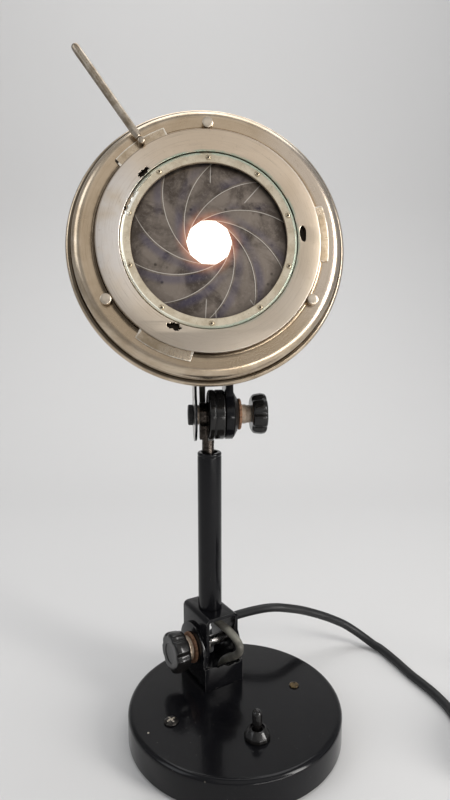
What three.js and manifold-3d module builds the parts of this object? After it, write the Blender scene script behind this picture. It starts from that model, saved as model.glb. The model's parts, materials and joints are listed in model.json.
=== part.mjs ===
// Table lamp with a large iris diaphragm in front of the bulb.
// Millimetres, +Z up, origin at the centre of the underside of the base, the lamp faces -Y.

import * as THREE from 'three';
import { mergeVertices } from 'three/addons/utils/BufferGeometryUtils.js';
import Module from 'manifold-3d';

const wasm = await Module();
wasm.setup();

// ---------------------------------------------------------------- driving dimensions

const GAP = 0.3;                 // air between touching pieces
const ROUND = 48;                // sides of the large round pieces
const SMALL_ROUND = 12;          // sides of screws, washers and pins
const DEG = Math.PI / 180;

// base
const BASE_RADIUS = 80;
const BASE_HEIGHT = 24;
const BASE_EDGE = 4;             // rounding of the top edge
const BASE_SKIN = 2.5;           // sheet thickness
const PAD_HEIGHT = 1.6;
const SWITCH_AT = [14.9, -40];
const CROSS_SCREW_AT = [-46, -25];
const BRASS_SCREW_AT = [46.8, 17];

// lower joint: bracket on the base, yoke under the post
const JOINT_AT = [-19.4, 36, 51];
const JOINT_YAW = 31;            // the bolt points right and to the back
const YOKE_WIDTH = 28;           // along the bolt
const YOKE_DEPTH = 39;           // across the bolt
const YOKE_TOP = 81;
const STRAP = 2.5;               // thickness of both brackets
const BOLT_RADIUS = 4;
const BRACKET_SCREWS_AT = [[-5, -13], [-5, 13]];
const LEAD_HOLE_RADIUS = 5;
const LEAD_HOLE_AT = [5.5, -7];  // in the base, seen from the lower joint

// post
const POST_RADIUS = 9.3;
const POST_WALL = 1.6;
const POST_TOP = 205;
const LIP_HEIGHT = 3;            // rolled lip round the mouth of the tube
const ROD_RADIUS = 4.7;
const ROD_OFFSET = -1;

// upper joint
const TILT_Z = 237;
const HEAD_YAW = 6.3;
const HEAD_ELEVATION = 11;
const LUG_RADIUS = 9.5;
const DRUM_RADIUS = 19;
const HEAD_LEAD_AT = [-4.4, -8]; // hole for the lead, across and along the lens axis
const HEAD_LEAD_HOLE_RADIUS = 4.5;

// head, measured from the tilt axis to the centre of the cover plate
const FACE_OFFSET = [-3.1, 113, 71];
const PLATE_RADIUS = 74;
const PLATE_INNER = 58.6;
const PLATE_THICKNESS = 3.2;
const OPENING_RADIUS = 51.5;
const RIVET_CIRCLE = 54.8;
const BODY_FACE_Z = -5;
const CAVITY_RADIUS = 73.6;
const SHOULDER_RADIUS = 90.6;
const FLANGE_RADIUS = 95;
const FLANGE_BACK_Z = -21;
const HOUSING_RADIUS = 83;
const STUD_CIRCLE = 78;
const STUD_ANGLES = [90, 210, 330];
const LUG_ANGLES = [125, 4.3, 246];
const LUG_SPAN = 28;
const LUG_OUTER = 80.5;
const LEVER_ANGLE = 124.3;
const LEVER_END = 152;

// iris blades
const BLADES = 10;
const BLADE_PIVOT_ANGLE = -54;   // of the first blade
const BLADE_EDGE_RADIUS = 54;    // concave edge that bounds the light
const BLADE_PIVOT_REACH = 56;    // from the pivot to the centre of that edge
const BLADE_CENTRE_OFFSET = 39;  // from the lens axis to that centre, sets the light to 30 wide
const BLADE_BACK_RADIUS = 60;    // convex back of the crescent
const BLADE_BACK_SHIFT = 14;
const BLADE_THICKNESS = 0.5;
const BLADE_PITCH = 0.95;

// mains cord
const CORD_RADIUS = 3.7;
const CORD_EXIT = [-12.2, 69, 44];
const BOOT_FOOT = [-30, 61, BASE_HEIGHT + GAP];
const COIL_CENTRE = [214, -40];
const COIL_OUTER_TURN = 43;
const COIL_INNER_TURN = 35.5;
const COIL_LAYERS = 3;
const CORD_ROUTE = [
  CORD_EXIT, [-7.9, 70.8, 47.8], [-3, 72.6, 50.6], [2.6, 74.2, 52.4], [9, 75.4, 53.7],
  [16, 76.6, 55], [26.8, 78.2, 56.5], [36, 80.4, 56.2], [44.5, 83.4, 54.3], [59.4, 91.5, 48.2],
  [70.5, 97.5, 42.6], [82.8, 102.5, 36.4], [94.2, 108, 29.4], [105.4, 112, 22.3], [116.1, 112.8, 15],
  [126.2, 110, 8.5], [132.2, 106, 5.4], [137.9, 100.8, 4], [146.2, 82.1, CORD_RADIUS],
  [153.4, 62.5, CORD_RADIUS], [164.2, 38.4, CORD_RADIUS], [170, 18, CORD_RADIUS],
  [171, 0, CORD_RADIUS], [171, -14.2, CORD_RADIUS],
];
const TAIL_ROUTE = [[257, -11.6, 16.4], [257, -5, 15], [257, 2, 14], [257, 8, 13.6]];
const PLUG_AT = [257, 8 + GAP, 13.6];

// ---------------------------------------------------------------- solids

function toSolid(geometry) {
  let plain = geometry.index ? geometry : geometry.clone();
  plain.deleteAttribute('normal');
  plain.deleteAttribute('uv');
  plain = mergeVertices(plain, 1e-4);
  const index = Uint32Array.from(plain.index.array);
  const kept = [];
  for (let i = 0; i < index.length; i += 3) {
    const [a, b, c] = [index[i], index[i + 1], index[i + 2]];
    if (a !== b && b !== c && c !== a) kept.push(a, b, c);
  }
  if (signedVolume(plain.attributes.position, kept) < 0) kept.reverse();
  const mesh = new wasm.Mesh({
    numProp: 3,
    vertProperties: Float32Array.from(plain.attributes.position.array),
    triVerts: Uint32Array.from(kept),
  });
  return new wasm.Manifold(mesh);
}

function signedVolume(position, triangles) {
  const [a, b, c] = [new THREE.Vector3(), new THREE.Vector3(), new THREE.Vector3()];
  let volume = 0;
  for (let i = 0; i < triangles.length; i += 3) {
    a.fromBufferAttribute(position, triangles[i]);
    b.fromBufferAttribute(position, triangles[i + 1]);
    c.fromBufferAttribute(position, triangles[i + 2]);
    volume += a.dot(b.cross(c)) / 6;
  }
  return volume;
}

function toGeometry(solid) {
  const mesh = solid.getMesh();
  const geometry = new THREE.BufferGeometry();
  geometry.setAttribute('position', new THREE.BufferAttribute(mesh.vertProperties, 3));
  geometry.setIndex(new THREE.BufferAttribute(mesh.triVerts, 1));
  return geometry;
}

// A profile of [radius, z] points turned about Z. A profile off the axis is closed into a ring.
function turned(profile, segments = 16) {
  const points = profile.map(([r, z]) => new THREE.Vector2(Math.abs(r) < 1e-6 ? 0 : r, z));
  const first = points[0];
  const last = points[points.length - 1];
  if (first.x > 0 || last.x > 0) points.push(first.clone());
  return toSolid(new THREE.LatheGeometry(points, segments).rotateX(Math.PI / 2));
}

function disc(radius, low, high, segments = 16) {
  return turned([[0, low], [radius, low], [radius, high], [0, high]], segments);
}

function ring(inner, outer, low, high, segments = 20) {
  return turned([[inner, low], [outer, low], [outer, high], [inner, high]], segments);
}

function box(size, centre) {
  return toSolid(new THREE.BoxGeometry(...size).translate(...centre));
}

// A flat outline in XY, from z = low to z = high.
function slab(shape, low, high, curveSegments = 12) {
  const options = { depth: high - low, bevelEnabled: false, curveSegments };
  return toSolid(new THREE.ExtrudeGeometry(shape, options).translate(0, 0, low));
}

function polygon(points) {
  return new THREE.Shape(points.map(([x, y]) => new THREE.Vector2(x, y)));
}

function hexagon(acrossFlats) {
  const radius = acrossFlats / Math.sqrt(3);
  const corner = (i) => [radius * Math.cos(i * 60 * DEG), radius * Math.sin(i * 60 * DEG)];
  return polygon([0, 1, 2, 3, 4, 5].map(corner));
}

// Solids built about Z are laid along +X.
function alongX(solid) {
  return solid.rotate([0, 90, 0]);
}

// A round bar along smooth points.
function cordSolid(points, radius, sides, steps) {
  const curve = new THREE.CatmullRomCurve3(points.map((p) => new THREE.Vector3(...p)));
  curve.arcLengthDivisions = 400;
  const section = new THREE.Shape();
  for (let i = 0; i < sides; i += 1) {
    const angle = (i * 360 * DEG) / sides;
    const corner = [radius * Math.cos(angle), radius * Math.sin(angle)];
    if (i === 0) section.moveTo(...corner);
    else section.lineTo(...corner);
  }
  section.closePath();
  return toSolid(new THREE.ExtrudeGeometry(section, { steps, extrudePath: curve }));
}

function polar(radius, degrees) {
  return [radius * Math.cos(degrees * DEG), radius * Math.sin(degrees * DEG)];
}

function arc(centre, radius, from, to, count) {
  const points = [];
  for (let i = 0; i <= count; i += 1) {
    const [x, y] = polar(radius, from + ((to - from) * i) / count);
    points.push([centre[0] + x, centre[1] + y]);
  }
  return points;
}

// ---------------------------------------------------------------- materials

function finish(name, color, roughness, metalness) {
  return () => new THREE.MeshStandardMaterial({ name, color, roughness, metalness });
}

const blackEnamel = finish('black_enamel', 0x111113, 0.15, 0);
const blackMetal = finish('black_metal', 0x1b1b1d, 0.4, 0.4);
const bakelite = finish('bakelite', 0x0c0c0d, 0.3, 0);
const nickel = finish('nickel', 0xa89f92, 0.35, 1);
const steel = finish('steel', 0xb8b8ba, 0.3, 1);
const brass = finish('brass', 0xb08d57, 0.35, 1);
const rust = finish('rust', 0x7a4630, 0.8, 0.4);
const bladeSteel = finish('blade_steel', 0x4a443c, 0.45, 1);
const greyLead = finish('grey_lead', 0x9a9c92, 0.6, 0);
const rubber = finish('rubber', 0x101011, 0.6, 0);
const felt = finish('felt', 0x2a2a2a, 0.95, 0);
const castIron = finish('cast_iron', 0x3a3a3c, 0.7, 0.6);
const glass = finish('glass', 0xfff4e2, 0.4, 0);
const ceramic = finish('ceramic', 0xe8e4da, 0.4, 0);

const lamp = new THREE.Group();

function add(parent, name, solid, material) {
  const mesh = new THREE.Mesh(toGeometry(solid), material());
  mesh.name = name;
  parent.add(mesh);
  return mesh;
}

// ---------------------------------------------------------------- base

function buildBase() {
  const top = BASE_HEIGHT;
  const low = PAD_HEIGHT + GAP;
  const edge = arc([BASE_RADIUS - BASE_EDGE, top - BASE_EDGE], BASE_EDGE, 90, 0, 3);
  const profile = [[0, top], ...edge, [BASE_RADIUS, low], [BASE_RADIUS - BASE_SKIN, low],
    [BASE_RADIUS - BASE_SKIN, top - 6], [BASE_RADIUS - 5, top - BASE_SKIN], [0, top - BASE_SKIN]];
  let shell = turned(profile, ROUND);
  const holes = [[SWITCH_AT, 6.2], [CROSS_SCREW_AT, 2.8], [BRASS_SCREW_AT, 2.1],
    [leadHoleAt(), LEAD_HOLE_RADIUS]];
  for (const [[x, y], radius] of holes) {
    shell = shell.subtract(disc(radius, top - 5, top + 1).translate([x, y, 0]));
  }
  add(lamp, 'base_shell', shell, blackEnamel);

  const plate = disc(BASE_RADIUS - BASE_SKIN - GAP, low, low + 1.6, ROUND);
  add(lamp, 'base_plate', plate, blackMetal);
  add(lamp, 'base_pad', disc(BASE_RADIUS - 2, 0, PAD_HEIGHT, ROUND), felt);

  const weightLow = low + 1.6 + GAP;
  let weight = ring(24, 70, weightLow, weightLow + 9, 32);
  weight = weight.subtract(box([34, 40, 20], [SWITCH_AT[0], SWITCH_AT[1], 9]));
  weight = weight.subtract(disc(LEAD_HOLE_RADIUS, 0, 20).translate([...leadHoleAt(), 0]));
  add(lamp, 'base_weight', weight, castIron);

  const crossHead = [[0, 19], [2.4, 19], [2.4, top + GAP], [5.2, top + GAP], [5, top + 1.4],
    [3, top + 2.6], [0, top + 2.8]];
  let crossScrew = turned(crossHead, SMALL_ROUND).translate([...CROSS_SCREW_AT, 0]);
  for (const turn of [20, 110]) {
    const slot = box([6, 1.2, 2], [0, 0, top + 2.9]).rotate([0, 0, turn]);
    crossScrew = crossScrew.subtract(slot.translate([...CROSS_SCREW_AT, 0]));
  }
  add(lamp, 'cross_head_screw', crossScrew, steel);

  const brassHead = [[0, 19], [1.8, 19], [1.8, top + GAP], [3.8, top + GAP], [3.6, top + 1.2],
    [0, top + 1.6]];
  const brassSlot = box([9, 0.9, 1.4], [0, 0, top + 1.8]).rotate([0, 0, 80]);
  const brassScrew = turned(brassHead, SMALL_ROUND).subtract(brassSlot);
  add(lamp, 'slotted_screw', brassScrew.translate([...BRASS_SCREW_AT, 0]), brass);
}

// ---------------------------------------------------------------- toggle switch

const SWITCH_PIVOT_Z = BASE_HEIGHT + 1;
const SWITCH_LEAN = 11;

function buildSwitch() {
  const group = new THREE.Group();
  group.position.set(SWITCH_AT[0], SWITCH_AT[1], 0);
  lamp.add(group);
  const bushTop = BASE_HEIGHT + 6.2;
  const bush = turned([[3.9, 21.5], [3.9, bushTop], [5.6, bushTop], [5.9, bushTop - 0.6],
    [5.9, 19.6], [4.4, 19.6]], 16);
  const body = box([14, 26, 12], [0, 0, 13.6]);
  const well = disc(4.4, 14, 22);
  add(group, 'switch_body', body.add(bush).subtract(well), blackMetal);
  const low = BASE_HEIGHT + GAP;
  const nut = turned([[6.2, low], [9.2, low], [9.2, low + 3], [7.6, low + 5], [6.2, low + 5]], 20);
  add(group, 'switch_nut', nut, bakelite);

  const lever = new THREE.Group();
  lever.position.z = SWITCH_PIVOT_Z;
  lever.rotation.x = -SWITCH_LEAN * DEG;
  group.add(lever);
  const ball = arc([0, 0], 3.2, -90, 45, 3);
  const stem = [[2.1, 3.5], [2.1, 6.2], [3.1, 8.4], ...arc([0, 14.6], 3.5, 0, 90, 3)];
  add(lever, 'switch_lever', turned([...ball, ...stem], SMALL_ROUND), bakelite);
}

// ---------------------------------------------------------------- lower joint

// A bent strap: U section in XZ with its floor at z = 0, swept along Y.
function uStrap(width, depth, height) {
  const half = width / 2;
  const bend = 4;
  const outside = [[-half, height], ...arc([-half + bend, bend], bend, 180, 270, 4),
    ...arc([half - bend, bend], bend, 270, 360, 4), [half, height]];
  const inside = [[half - STRAP, height], ...arc([half - bend, bend], bend - STRAP, 360, 270, 3),
    ...arc([-half + bend, bend], bend - STRAP, 270, 180, 3), [-half + STRAP, height]];
  return slab(polygon([...outside, ...inside]), -depth / 2, depth / 2).rotate([90, 0, 0]);
}

// The lead hole in the base, in the frame of the base.
function leadHoleAt() {
  const place = new THREE.Vector2(...LEAD_HOLE_AT).rotateAround(new THREE.Vector2(), JOINT_YAW * DEG);
  return [JOINT_AT[0] + place.x, JOINT_AT[1] + place.y];
}

function buildLowerJoint(joint) {
  const axisZ = JOINT_AT[2];
  const halfDepth = YOKE_DEPTH / 2;

  // bracket on the base: two round-topped ears and a low ragged web at the front right
  const floor = BASE_HEIGHT + GAP - axisZ;
  const bracketWidth = YOKE_WIDTH + 2 * (STRAP + GAP);
  const webY = -halfDepth - GAP - STRAP;
  const webTop = -8.5;
  const ear = new THREE.Shape();
  ear.moveTo(webY, floor);
  ear.lineTo(halfDepth, floor);
  ear.lineTo(halfDepth, 0);
  ear.absarc(0, 0, halfDepth, 0, Math.PI, false);
  ear.lineTo(-halfDepth, webTop);
  ear.lineTo(webY, webTop);
  ear.closePath();
  let bracket = uStrap(bracketWidth, 2 * -webY, 60).translate([0, 0, floor]);
  bracket = bracket.intersect(slab(ear, -30, 30, 10).rotate([90, 0, 90]));
  const web = polygon([[-bracketWidth / 2, floor], [bracketWidth / 2, floor],
    [bracketWidth / 2, webTop - 3], [9, webTop - 2.2], [5, webTop - 3.4], [0, webTop - 1], [-5, webTop - 1.8], [-10, webTop + 0.2],
    [-bracketWidth / 2, webTop]]);
  bracket = bracket.add(slab(web, 0, STRAP).rotate([90, 0, 0]).translate([0, webY + STRAP, 0]));
  bracket = bracket.subtract(alongX(disc(BOLT_RADIUS + 0.2, -30, 30)));
  const leadHole = disc(LEAD_HOLE_RADIUS, floor - 2, floor + 6).translate([...LEAD_HOLE_AT, 0]);
  bracket = bracket.subtract(leadHole);
  for (const [x, y] of BRACKET_SCREWS_AT) {
    bracket = bracket.subtract(disc(2.8, floor - 1, floor + 4).translate([x, y, 0]));
  }
  add(joint, 'base_bracket', bracket, blackEnamel);
  BRACKET_SCREWS_AT.forEach(([x, y], i) => {
    const low = floor + STRAP + GAP;
    const profile = [[0, floor + 0.4], [2.4, floor + 0.4], [2.4, low], [4.4, low], [4.2, low + 1.6],
      [0, low + 2.4]];
    add(joint, `bracket_screw_${i + 1}`, turned(profile, SMALL_ROUND).translate([x, y, 0]), steel);
  });

  // yoke welded under the post
  const yokeTop = YOKE_TOP - axisZ;
  const leg = new THREE.Shape();
  const legRound = 18;
  leg.moveTo(-halfDepth, yokeTop + 1);
  leg.lineTo(-halfDepth, 0);
  leg.lineTo(-legRound, 0);
  leg.absarc(0, 0, legRound, Math.PI, 2 * Math.PI, false);
  leg.lineTo(halfDepth, 0);
  leg.lineTo(halfDepth, yokeTop + 1);
  leg.closePath();
  let yoke = uStrap(YOKE_WIDTH, YOKE_DEPTH, 60).rotate([180, 0, 0]).translate([0, 0, yokeTop]);
  yoke = yoke.intersect(slab(leg, -30, 30, 10).rotate([90, 0, 90]));
  yoke = yoke.subtract(alongX(disc(BOLT_RADIUS + 0.2, -30, 30)));
  yoke = yoke.subtract(disc(LEAD_HOLE_RADIUS, yokeTop - 8, yokeTop + 2));
  add(joint, 'arm_yoke', yoke, blackEnamel);

  // bolt with its hex head on the right, nut inside, washer, spacer and hand knob on the left
  const wall = YOKE_WIDTH / 2 + GAP + STRAP;
  const shaft = disc(BOLT_RADIUS, -31, wall + GAP + 1);
  const head = slab(hexagon(13), wall + GAP, wall + GAP + 5);
  add(joint, 'tilt_bolt', alongX(shaft.add(head)), steel);
  const nutLow = -YOKE_WIDTH / 2 + STRAP + GAP;
  const nut = slab(hexagon(14), nutLow, nutLow + 8);
  add(joint, 'tilt_nut', alongX(nut.subtract(disc(BOLT_RADIUS + 0.2, -30, 30))), steel);
  const bore = BOLT_RADIUS + GAP;
  add(joint, 'tilt_washer', alongX(ring(bore, 12, -wall - 2.2, -wall - GAP)), rust);
  add(joint, 'tilt_spacer', alongX(ring(bore, 7.5, -wall - 6.7, -wall - 2.5)), brass);
  const knob = handKnob(12.6).subtract(disc(BOLT_RADIUS + 0.2, -20, 9));
  add(joint, 'lower_knob', alongX(knob.rotate([180, 0, 0])).translate([-wall - 7, 0, 0]), bakelite);
}

// Fluted hand knob: from z = 0 at its inner face outwards, seven lobes, wider at the outer end.
function handKnob(length) {
  const lobes = 7;
  const outline = [];
  for (let i = 0; i < lobes * 6; i += 1) {
    const angle = (i * 360) / (lobes * 6);
    const flute = 1.7 * Math.max(0, -Math.cos(angle * lobes * DEG)) ** 1.5;
    outline.push(polar(16 - flute, angle));
  }
  const body = slab(polygon(outline), 0, length);
  const barrel = turned([[0, 0], [13, 0], [15, 1.6], [16.2, length - 4], [15.4, length - 1],
    [13.6, length], [0, length]], 21);
  return body.intersect(barrel);
}

// ---------------------------------------------------------------- post

function buildPost(arm) {
  const low = YOKE_TOP + GAP;
  const bore = POST_RADIUS - POST_WALL;
  const lip = POST_TOP + LIP_HEIGHT;
  const tube = [[bore, low], [POST_RADIUS, low], [POST_RADIUS, lip - 1.4], [POST_RADIUS - 0.5, lip - 0.4],
    [POST_RADIUS - 1.4, lip], [6.2, lip], [6.2, lip - 1.6], [bore, lip - 1.6]];
  add(arm, 'post_tube', turned(tube, 20), blackEnamel);

  // rod with a flat tongue and a round eye for the upper bolt
  const tongue = [-7.6, -1.8];
  const eyeBottom = TILT_Z - LUG_RADIUS - 9;
  const rod = disc(ROD_RADIUS, 150, eyeBottom + 1.5, 20).translate([ROD_OFFSET, 0, 0]);
  const plate = new THREE.Shape();
  plate.moveTo(-ROD_RADIUS, eyeBottom - TILT_Z);
  plate.lineTo(ROD_RADIUS, eyeBottom - TILT_Z);
  plate.lineTo(ROD_RADIUS, -8);
  plate.absarc(0, 0, LUG_RADIUS, -60 * DEG, 240 * DEG, false);
  plate.lineTo(-ROD_RADIUS, -8);
  plate.closePath();
  const eye = slab(plate, tongue[0], tongue[1], 10).rotate([90, 0, 90]).translate([0, 0, TILT_Z]);
  const boltHole = alongX(disc(4.3, -20, 20)).translate([0, 0, TILT_Z]);
  const relief = alongX(disc(DRUM_RADIUS + 1.2, -1.5, 20, 24)).translate([0, 0, TILT_Z]);
  const outlet = box([8, 3, 5], [ROD_RADIUS + 2.5 + ROD_OFFSET, 0, 212]);
  const turnedEye = eye.subtract(boltHole).rotate([0, 0, HEAD_YAW]);
  const blank = rod.subtract(relief.rotate([0, 0, HEAD_YAW])).subtract(outlet);
  add(arm, 'post_rod', blank.add(turnedEye), blackMetal);
}

// ---------------------------------------------------------------- upper joint, carried by the head

function buildUpperJoint(head) {
  const bolt = disc(4, -13, 40).add(slab(hexagon(7), 38, 41));
  add(head, 'upper_bolt', alongX(bolt), steel);
  const nutOutline = [];
  for (let i = 0; i < 24; i += 1) {
    nutOutline.push(polar(i % 2 ? 7.5 : 7.9, i * 15));
  }
  const nut = slab(polygon(nutOutline), -16.3, -12.2).subtract(disc(4.3, -14, -10));
  add(head, 'upper_nut', alongX(nut), blackMetal);
  add(head, 'upper_brass_washer', alongX(ring(4.3, 7.5, -9.8, -7.9)), brass);
  const drum = turned([[4.3, -1.5], [17.6, -1.5], [DRUM_RADIUS, -0.4], [DRUM_RADIUS, 10.4],
    [18.4, 11.3], [4.3, 11.3]], 24);
  add(head, 'friction_drum', alongX(drum), bakelite);
  const cone = turned([[4.3, 17.5], [18, 17.5], [12, 21.3], [4.3, 21.3]], 24);
  add(head, 'cone_washer', alongX(cone), blackMetal);
  add(head, 'upper_washer', alongX(ring(4.3, 12, 21.6, 23.7)), rust);
  const spacer = turned([[4.3, 24], [7.4, 24], [7.4, 28], [6.6, 31.6], [4.3, 31.6]], 16);
  add(head, 'upper_spacer', alongX(spacer), brass);
  const knob = handKnob(11.6).subtract(disc(5.2, -20, 10));
  add(head, 'upper_knob', alongX(knob.translate([0, 0, 31.9])), bakelite);

  // two ears and a cross plate under the housing; the left ear is thin, the right one thick
  const crossY = 27.2;
  const leftEar = earPlate(20, 15, crossY + STRAP, -11.9, -10.1);
  const rightEar = earPlate(DRUM_RADIUS, 14, crossY + STRAP, 11.6, 17.2);
  const lead = disc(HEAD_LEAD_HOLE_RADIUS, -6, 6).rotate([90, 0, 0]);
  const cross = box([29.1, STRAP, 34], [2.65, crossY + STRAP / 2, 0])
    .subtract(lead.translate([HEAD_LEAD_AT[0], crossY, HEAD_LEAD_AT[1]]));
  let yoke = leftEar.add(rightEar).add(cross);
  yoke = yoke.subtract(alongX(disc(4.3, -30, 30)));
  add(head, 'head_yoke', yoke, blackEnamel);
}

// Ear in the plane across the tilt axis: round about the axis, straight up to the cross plate.
function earPlate(round, halfWidth, top, from, to) {
  const ear = new THREE.Shape();
  const start = Math.acos(halfWidth / round);
  ear.moveTo(halfWidth, top);
  ear.lineTo(-halfWidth, top);
  ear.absarc(0, 0, round, Math.PI - start, 2 * Math.PI + start, false);
  ear.closePath();
  return slab(ear, from, to, 10).rotate([0, 90, 0]);
}

// ---------------------------------------------------------------- head

function buildHead(face) {
  const back = FLANGE_BACK_Z;
  const casing = [
    [CAVITY_RADIUS, BODY_FACE_Z], [84, BODY_FACE_Z],
    ...arc([83.6, BODY_FACE_Z - 7], 7, 84, 0, 3),
    [SHOULDER_RADIUS, -12.8], [89.4, -13.4], [89.4, -15],
    ...arc([92.3, -17.8], 2.7, 100, -80, 4),
    [84.5, back], [84.5, -17.6], [50, -17.6], [50, -16.2], [CAVITY_RADIUS, -16.2],
  ];
  let body = turned(casing, ROUND);
  for (const angle of STUD_ANGLES) {
    const [x, y] = polar(STUD_CIRCLE, angle);
    body = body.subtract(disc(2.1, BODY_FACE_Z - 5, BODY_FACE_Z + 1, 8).translate([x, y, 0]));
  }
  add(face, 'front_casing', body, nickel);

  const plate = [[PLATE_INNER, -PLATE_THICKNESS], [PLATE_RADIUS, -PLATE_THICKNESS], [PLATE_RADIUS, -0.5],
    [PLATE_RADIUS - 0.5, 0], [PLATE_INNER, 0]];
  add(face, 'cover_plate', turned(plate, ROUND), nickel);

  let pivotRing = ring(OPENING_RADIUS, PLATE_INNER - GAP, -2.6, -0.2, ROUND);
  for (let i = 0; i < BLADES; i += 1) {
    const [x, y] = polar(RIVET_CIRCLE, 90 + (i * 360) / BLADES);
    pivotRing = pivotRing.add(disc(1.5, -1, 0.4, 8).translate([x, y, 0]));
  }
  add(face, 'pivot_ring', pivotRing, nickel);

  STUD_ANGLES.forEach((angle, i) => {
    const [x, y] = polar(STUD_CIRCLE, angle);
    const foot = BODY_FACE_Z - 4.6;
    const stud = [[0, foot], [1.8, foot], [1.8, -2.6], [3.7, -2.6], [3.7, 0.2], [3.1, 0.8], [0, 0.8]];
    add(face, `guide_stud_${i + 1}`, turned(stud, SMALL_ROUND).translate([x, y, 0]), nickel);
  });

  // actuating ring: turns between body and cover plate, driven by the lever on one of its lugs
  const ringLow = BODY_FACE_Z + GAP;
  const ringHigh = -PLATE_THICKNESS - GAP;
  let driver = ring(56.6, 73, ringLow, ringHigh, ROUND);
  for (const angle of LUG_ANGLES) {
    const [from, to] = [angle - LUG_SPAN / 2, angle + LUG_SPAN / 2];
    const lug = polygon([...arc([0, 0], LUG_OUTER, from, to, 8), ...arc([0, 0], 70, to, from, 6)]);
    driver = driver.add(slab(lug, ringLow, ringHigh));
  }
  for (let i = 0; i < BLADES; i += 1) {
    const slot = box([12, 2.6, 6], [64, 0, -4]).rotate([0, 0, 87 + (i * 360) / BLADES]);
    driver = driver.subtract(slot);
  }
  add(face, 'actuating_ring', driver, nickel);
  const stud = [[0, ringHigh + GAP], [2.2, ringHigh + GAP], [2.2, 3], [1.6, 3.6], [0, 3.6]];
  add(face, 'lever_stud', turned(stud, SMALL_ROUND).translate([...polar(77, LEVER_ANGLE), 0]), brass);
  const start = 79.6;
  const lever = turned([[0, start], [2.2, start], [2.6, start + 2], [2.8, LEVER_END - 6],
    [2.6, LEVER_END - 1.4], [1.4, LEVER_END], [0, LEVER_END]], SMALL_ROUND);
  const leverAlong = alongX(lever).rotate([0, 0, LEVER_ANGLE]).translate([0, 0, 0.8]);
  add(face, 'iris_lever', leverAlong, brass);

  for (let i = 0; i < BLADES; i += 1) {
    const high = BODY_FACE_Z - 0.6 - i * BLADE_PITCH;
    const blade = slab(bladeOutline(), high - BLADE_THICKNESS, high);
    const name = `blade_${String(i + 1).padStart(2, '0')}`;
    add(face, name, blade.rotate([0, 0, (i * 360) / BLADES]), bladeSteel);
  }

  buildLight(face);
}

// Crescent blade: the concave edge and the convex back are arcs of two circles.
function bladeOutline() {
  const pivot = polar(RIVET_CIRCLE, BLADE_PIVOT_ANGLE);
  const cosine = (BLADE_CENTRE_OFFSET ** 2 + RIVET_CIRCLE ** 2 - BLADE_PIVOT_REACH ** 2)
    / (2 * BLADE_CENTRE_OFFSET * RIVET_CIRCLE);
  const centreAngle = BLADE_PIVOT_ANGLE + Math.acos(cosine) / DEG;
  const centre = polar(BLADE_CENTRE_OFFSET, centreAngle);
  const pivotEnd = Math.atan2(pivot[1] - centre[1], pivot[0] - centre[0]) / DEG + 360 + 5;
  const freeEnd = pivotEnd - 152;
  const middle = (pivotEnd + freeEnd) / 2;
  const shift = polar(BLADE_BACK_SHIFT, middle);
  const back = [centre[0] + shift[0], centre[1] + shift[1]];
  const inner = arc(centre, BLADE_EDGE_RADIUS, pivotEnd, freeEnd, 14);
  const outer = arc(back, BLADE_BACK_RADIUS, freeEnd - 9, pivotEnd + 9, 14);
  return polygon([...inner, ...outer]);
}

// housing, lampholder, bulb and diffuser behind the iris
function buildLight(face) {
  const front = FLANGE_BACK_Z - GAP;
  const outside = [[HOUSING_RADIUS + 5, front], [HOUSING_RADIUS + 5, front - 1.5],
    [HOUSING_RADIUS, front - 1.5], [HOUSING_RADIUS - 0.8, -55], [78, -72], [66, -90], [46, -102],
    [24, -107]];
  const inside = [[18.4, -107], [18.4, -105.5], [24, -105.5], [45.4, -100.4], [65, -88.6], [76.6, -71.2],
    [HOUSING_RADIUS - 2.4, -55], [HOUSING_RADIUS - 1.6, front]];
  let housing = turned([...outside, ...inside], 32);
  for (let i = 0; i < 12; i += 1) {
    const vent = box([16, 5, 40], [56, 0, -100]).rotate([0, 0, 15 + i * 30]);
    housing = housing.subtract(vent);
  }
  const lead = disc(HEAD_LEAD_HOLE_RADIUS, -12, 12).rotate([90, 0, 0]);
  const leadX = HEAD_LEAD_AT[0] - FACE_OFFSET[0];
  const leadZ = HEAD_LEAD_AT[1] - FACE_OFFSET[2];
  housing = housing.subtract(lead.translate([leadX, -HOUSING_RADIUS, leadZ]));
  add(face, 'housing_shell', housing, blackEnamel);

  const diffuserFront = -17.6 - GAP;
  add(face, 'diffuser', disc(82, diffuserFront - 2, diffuserFront, 32), glass);
  const holder = turned([[0, -116], [14, -116], [18, -112], [18, -74], [14.2, -74],
    [14.2, -100], [0, -100]], 20);
  add(face, 'lampholder', holder, ceramic);
  const neck = [[0, -99.6], [13.4, -99.6], [13.4, -72], [16, -64]];
  const globe = arc([0, -48], 22, -40, 90, 6);
  add(face, 'bulb', turned([...neck, ...globe], 20), glass);
}

// ---------------------------------------------------------------- leads and mains cord

function buildLeads(joint) {
  const lower = [[0, 0, 27], [0.4, -1.6, 23], [2.4, -8.5, 19.6], [6.5, -19, 15.5], [10.2, -26, 8.5],
    [10.8, -27.5, 2], [9.2, -23.5, -3.6], [7.6, -16.5, -8.2], [6, -9.5, -15.5], [5.5, -7, -27]];
  add(joint, 'lower_lead', cordSolid(lower, 3.1, 8, 22), greyLead);
  const upper = [[-20.4, 42.2, 213], [-21.2, 45.8, 214.4], [-24, 52, 221], [-25.2, 54, 232],
    [-25.2, 52.5, 243], [-25.2, 48.8, 253], [-25.2, 48.3, 260], [-25.2, 49.3, 266.5]];
  add(lamp, 'upper_lead', cordSolid(upper, 2.4, 8, 16), greyLead);
}

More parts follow.
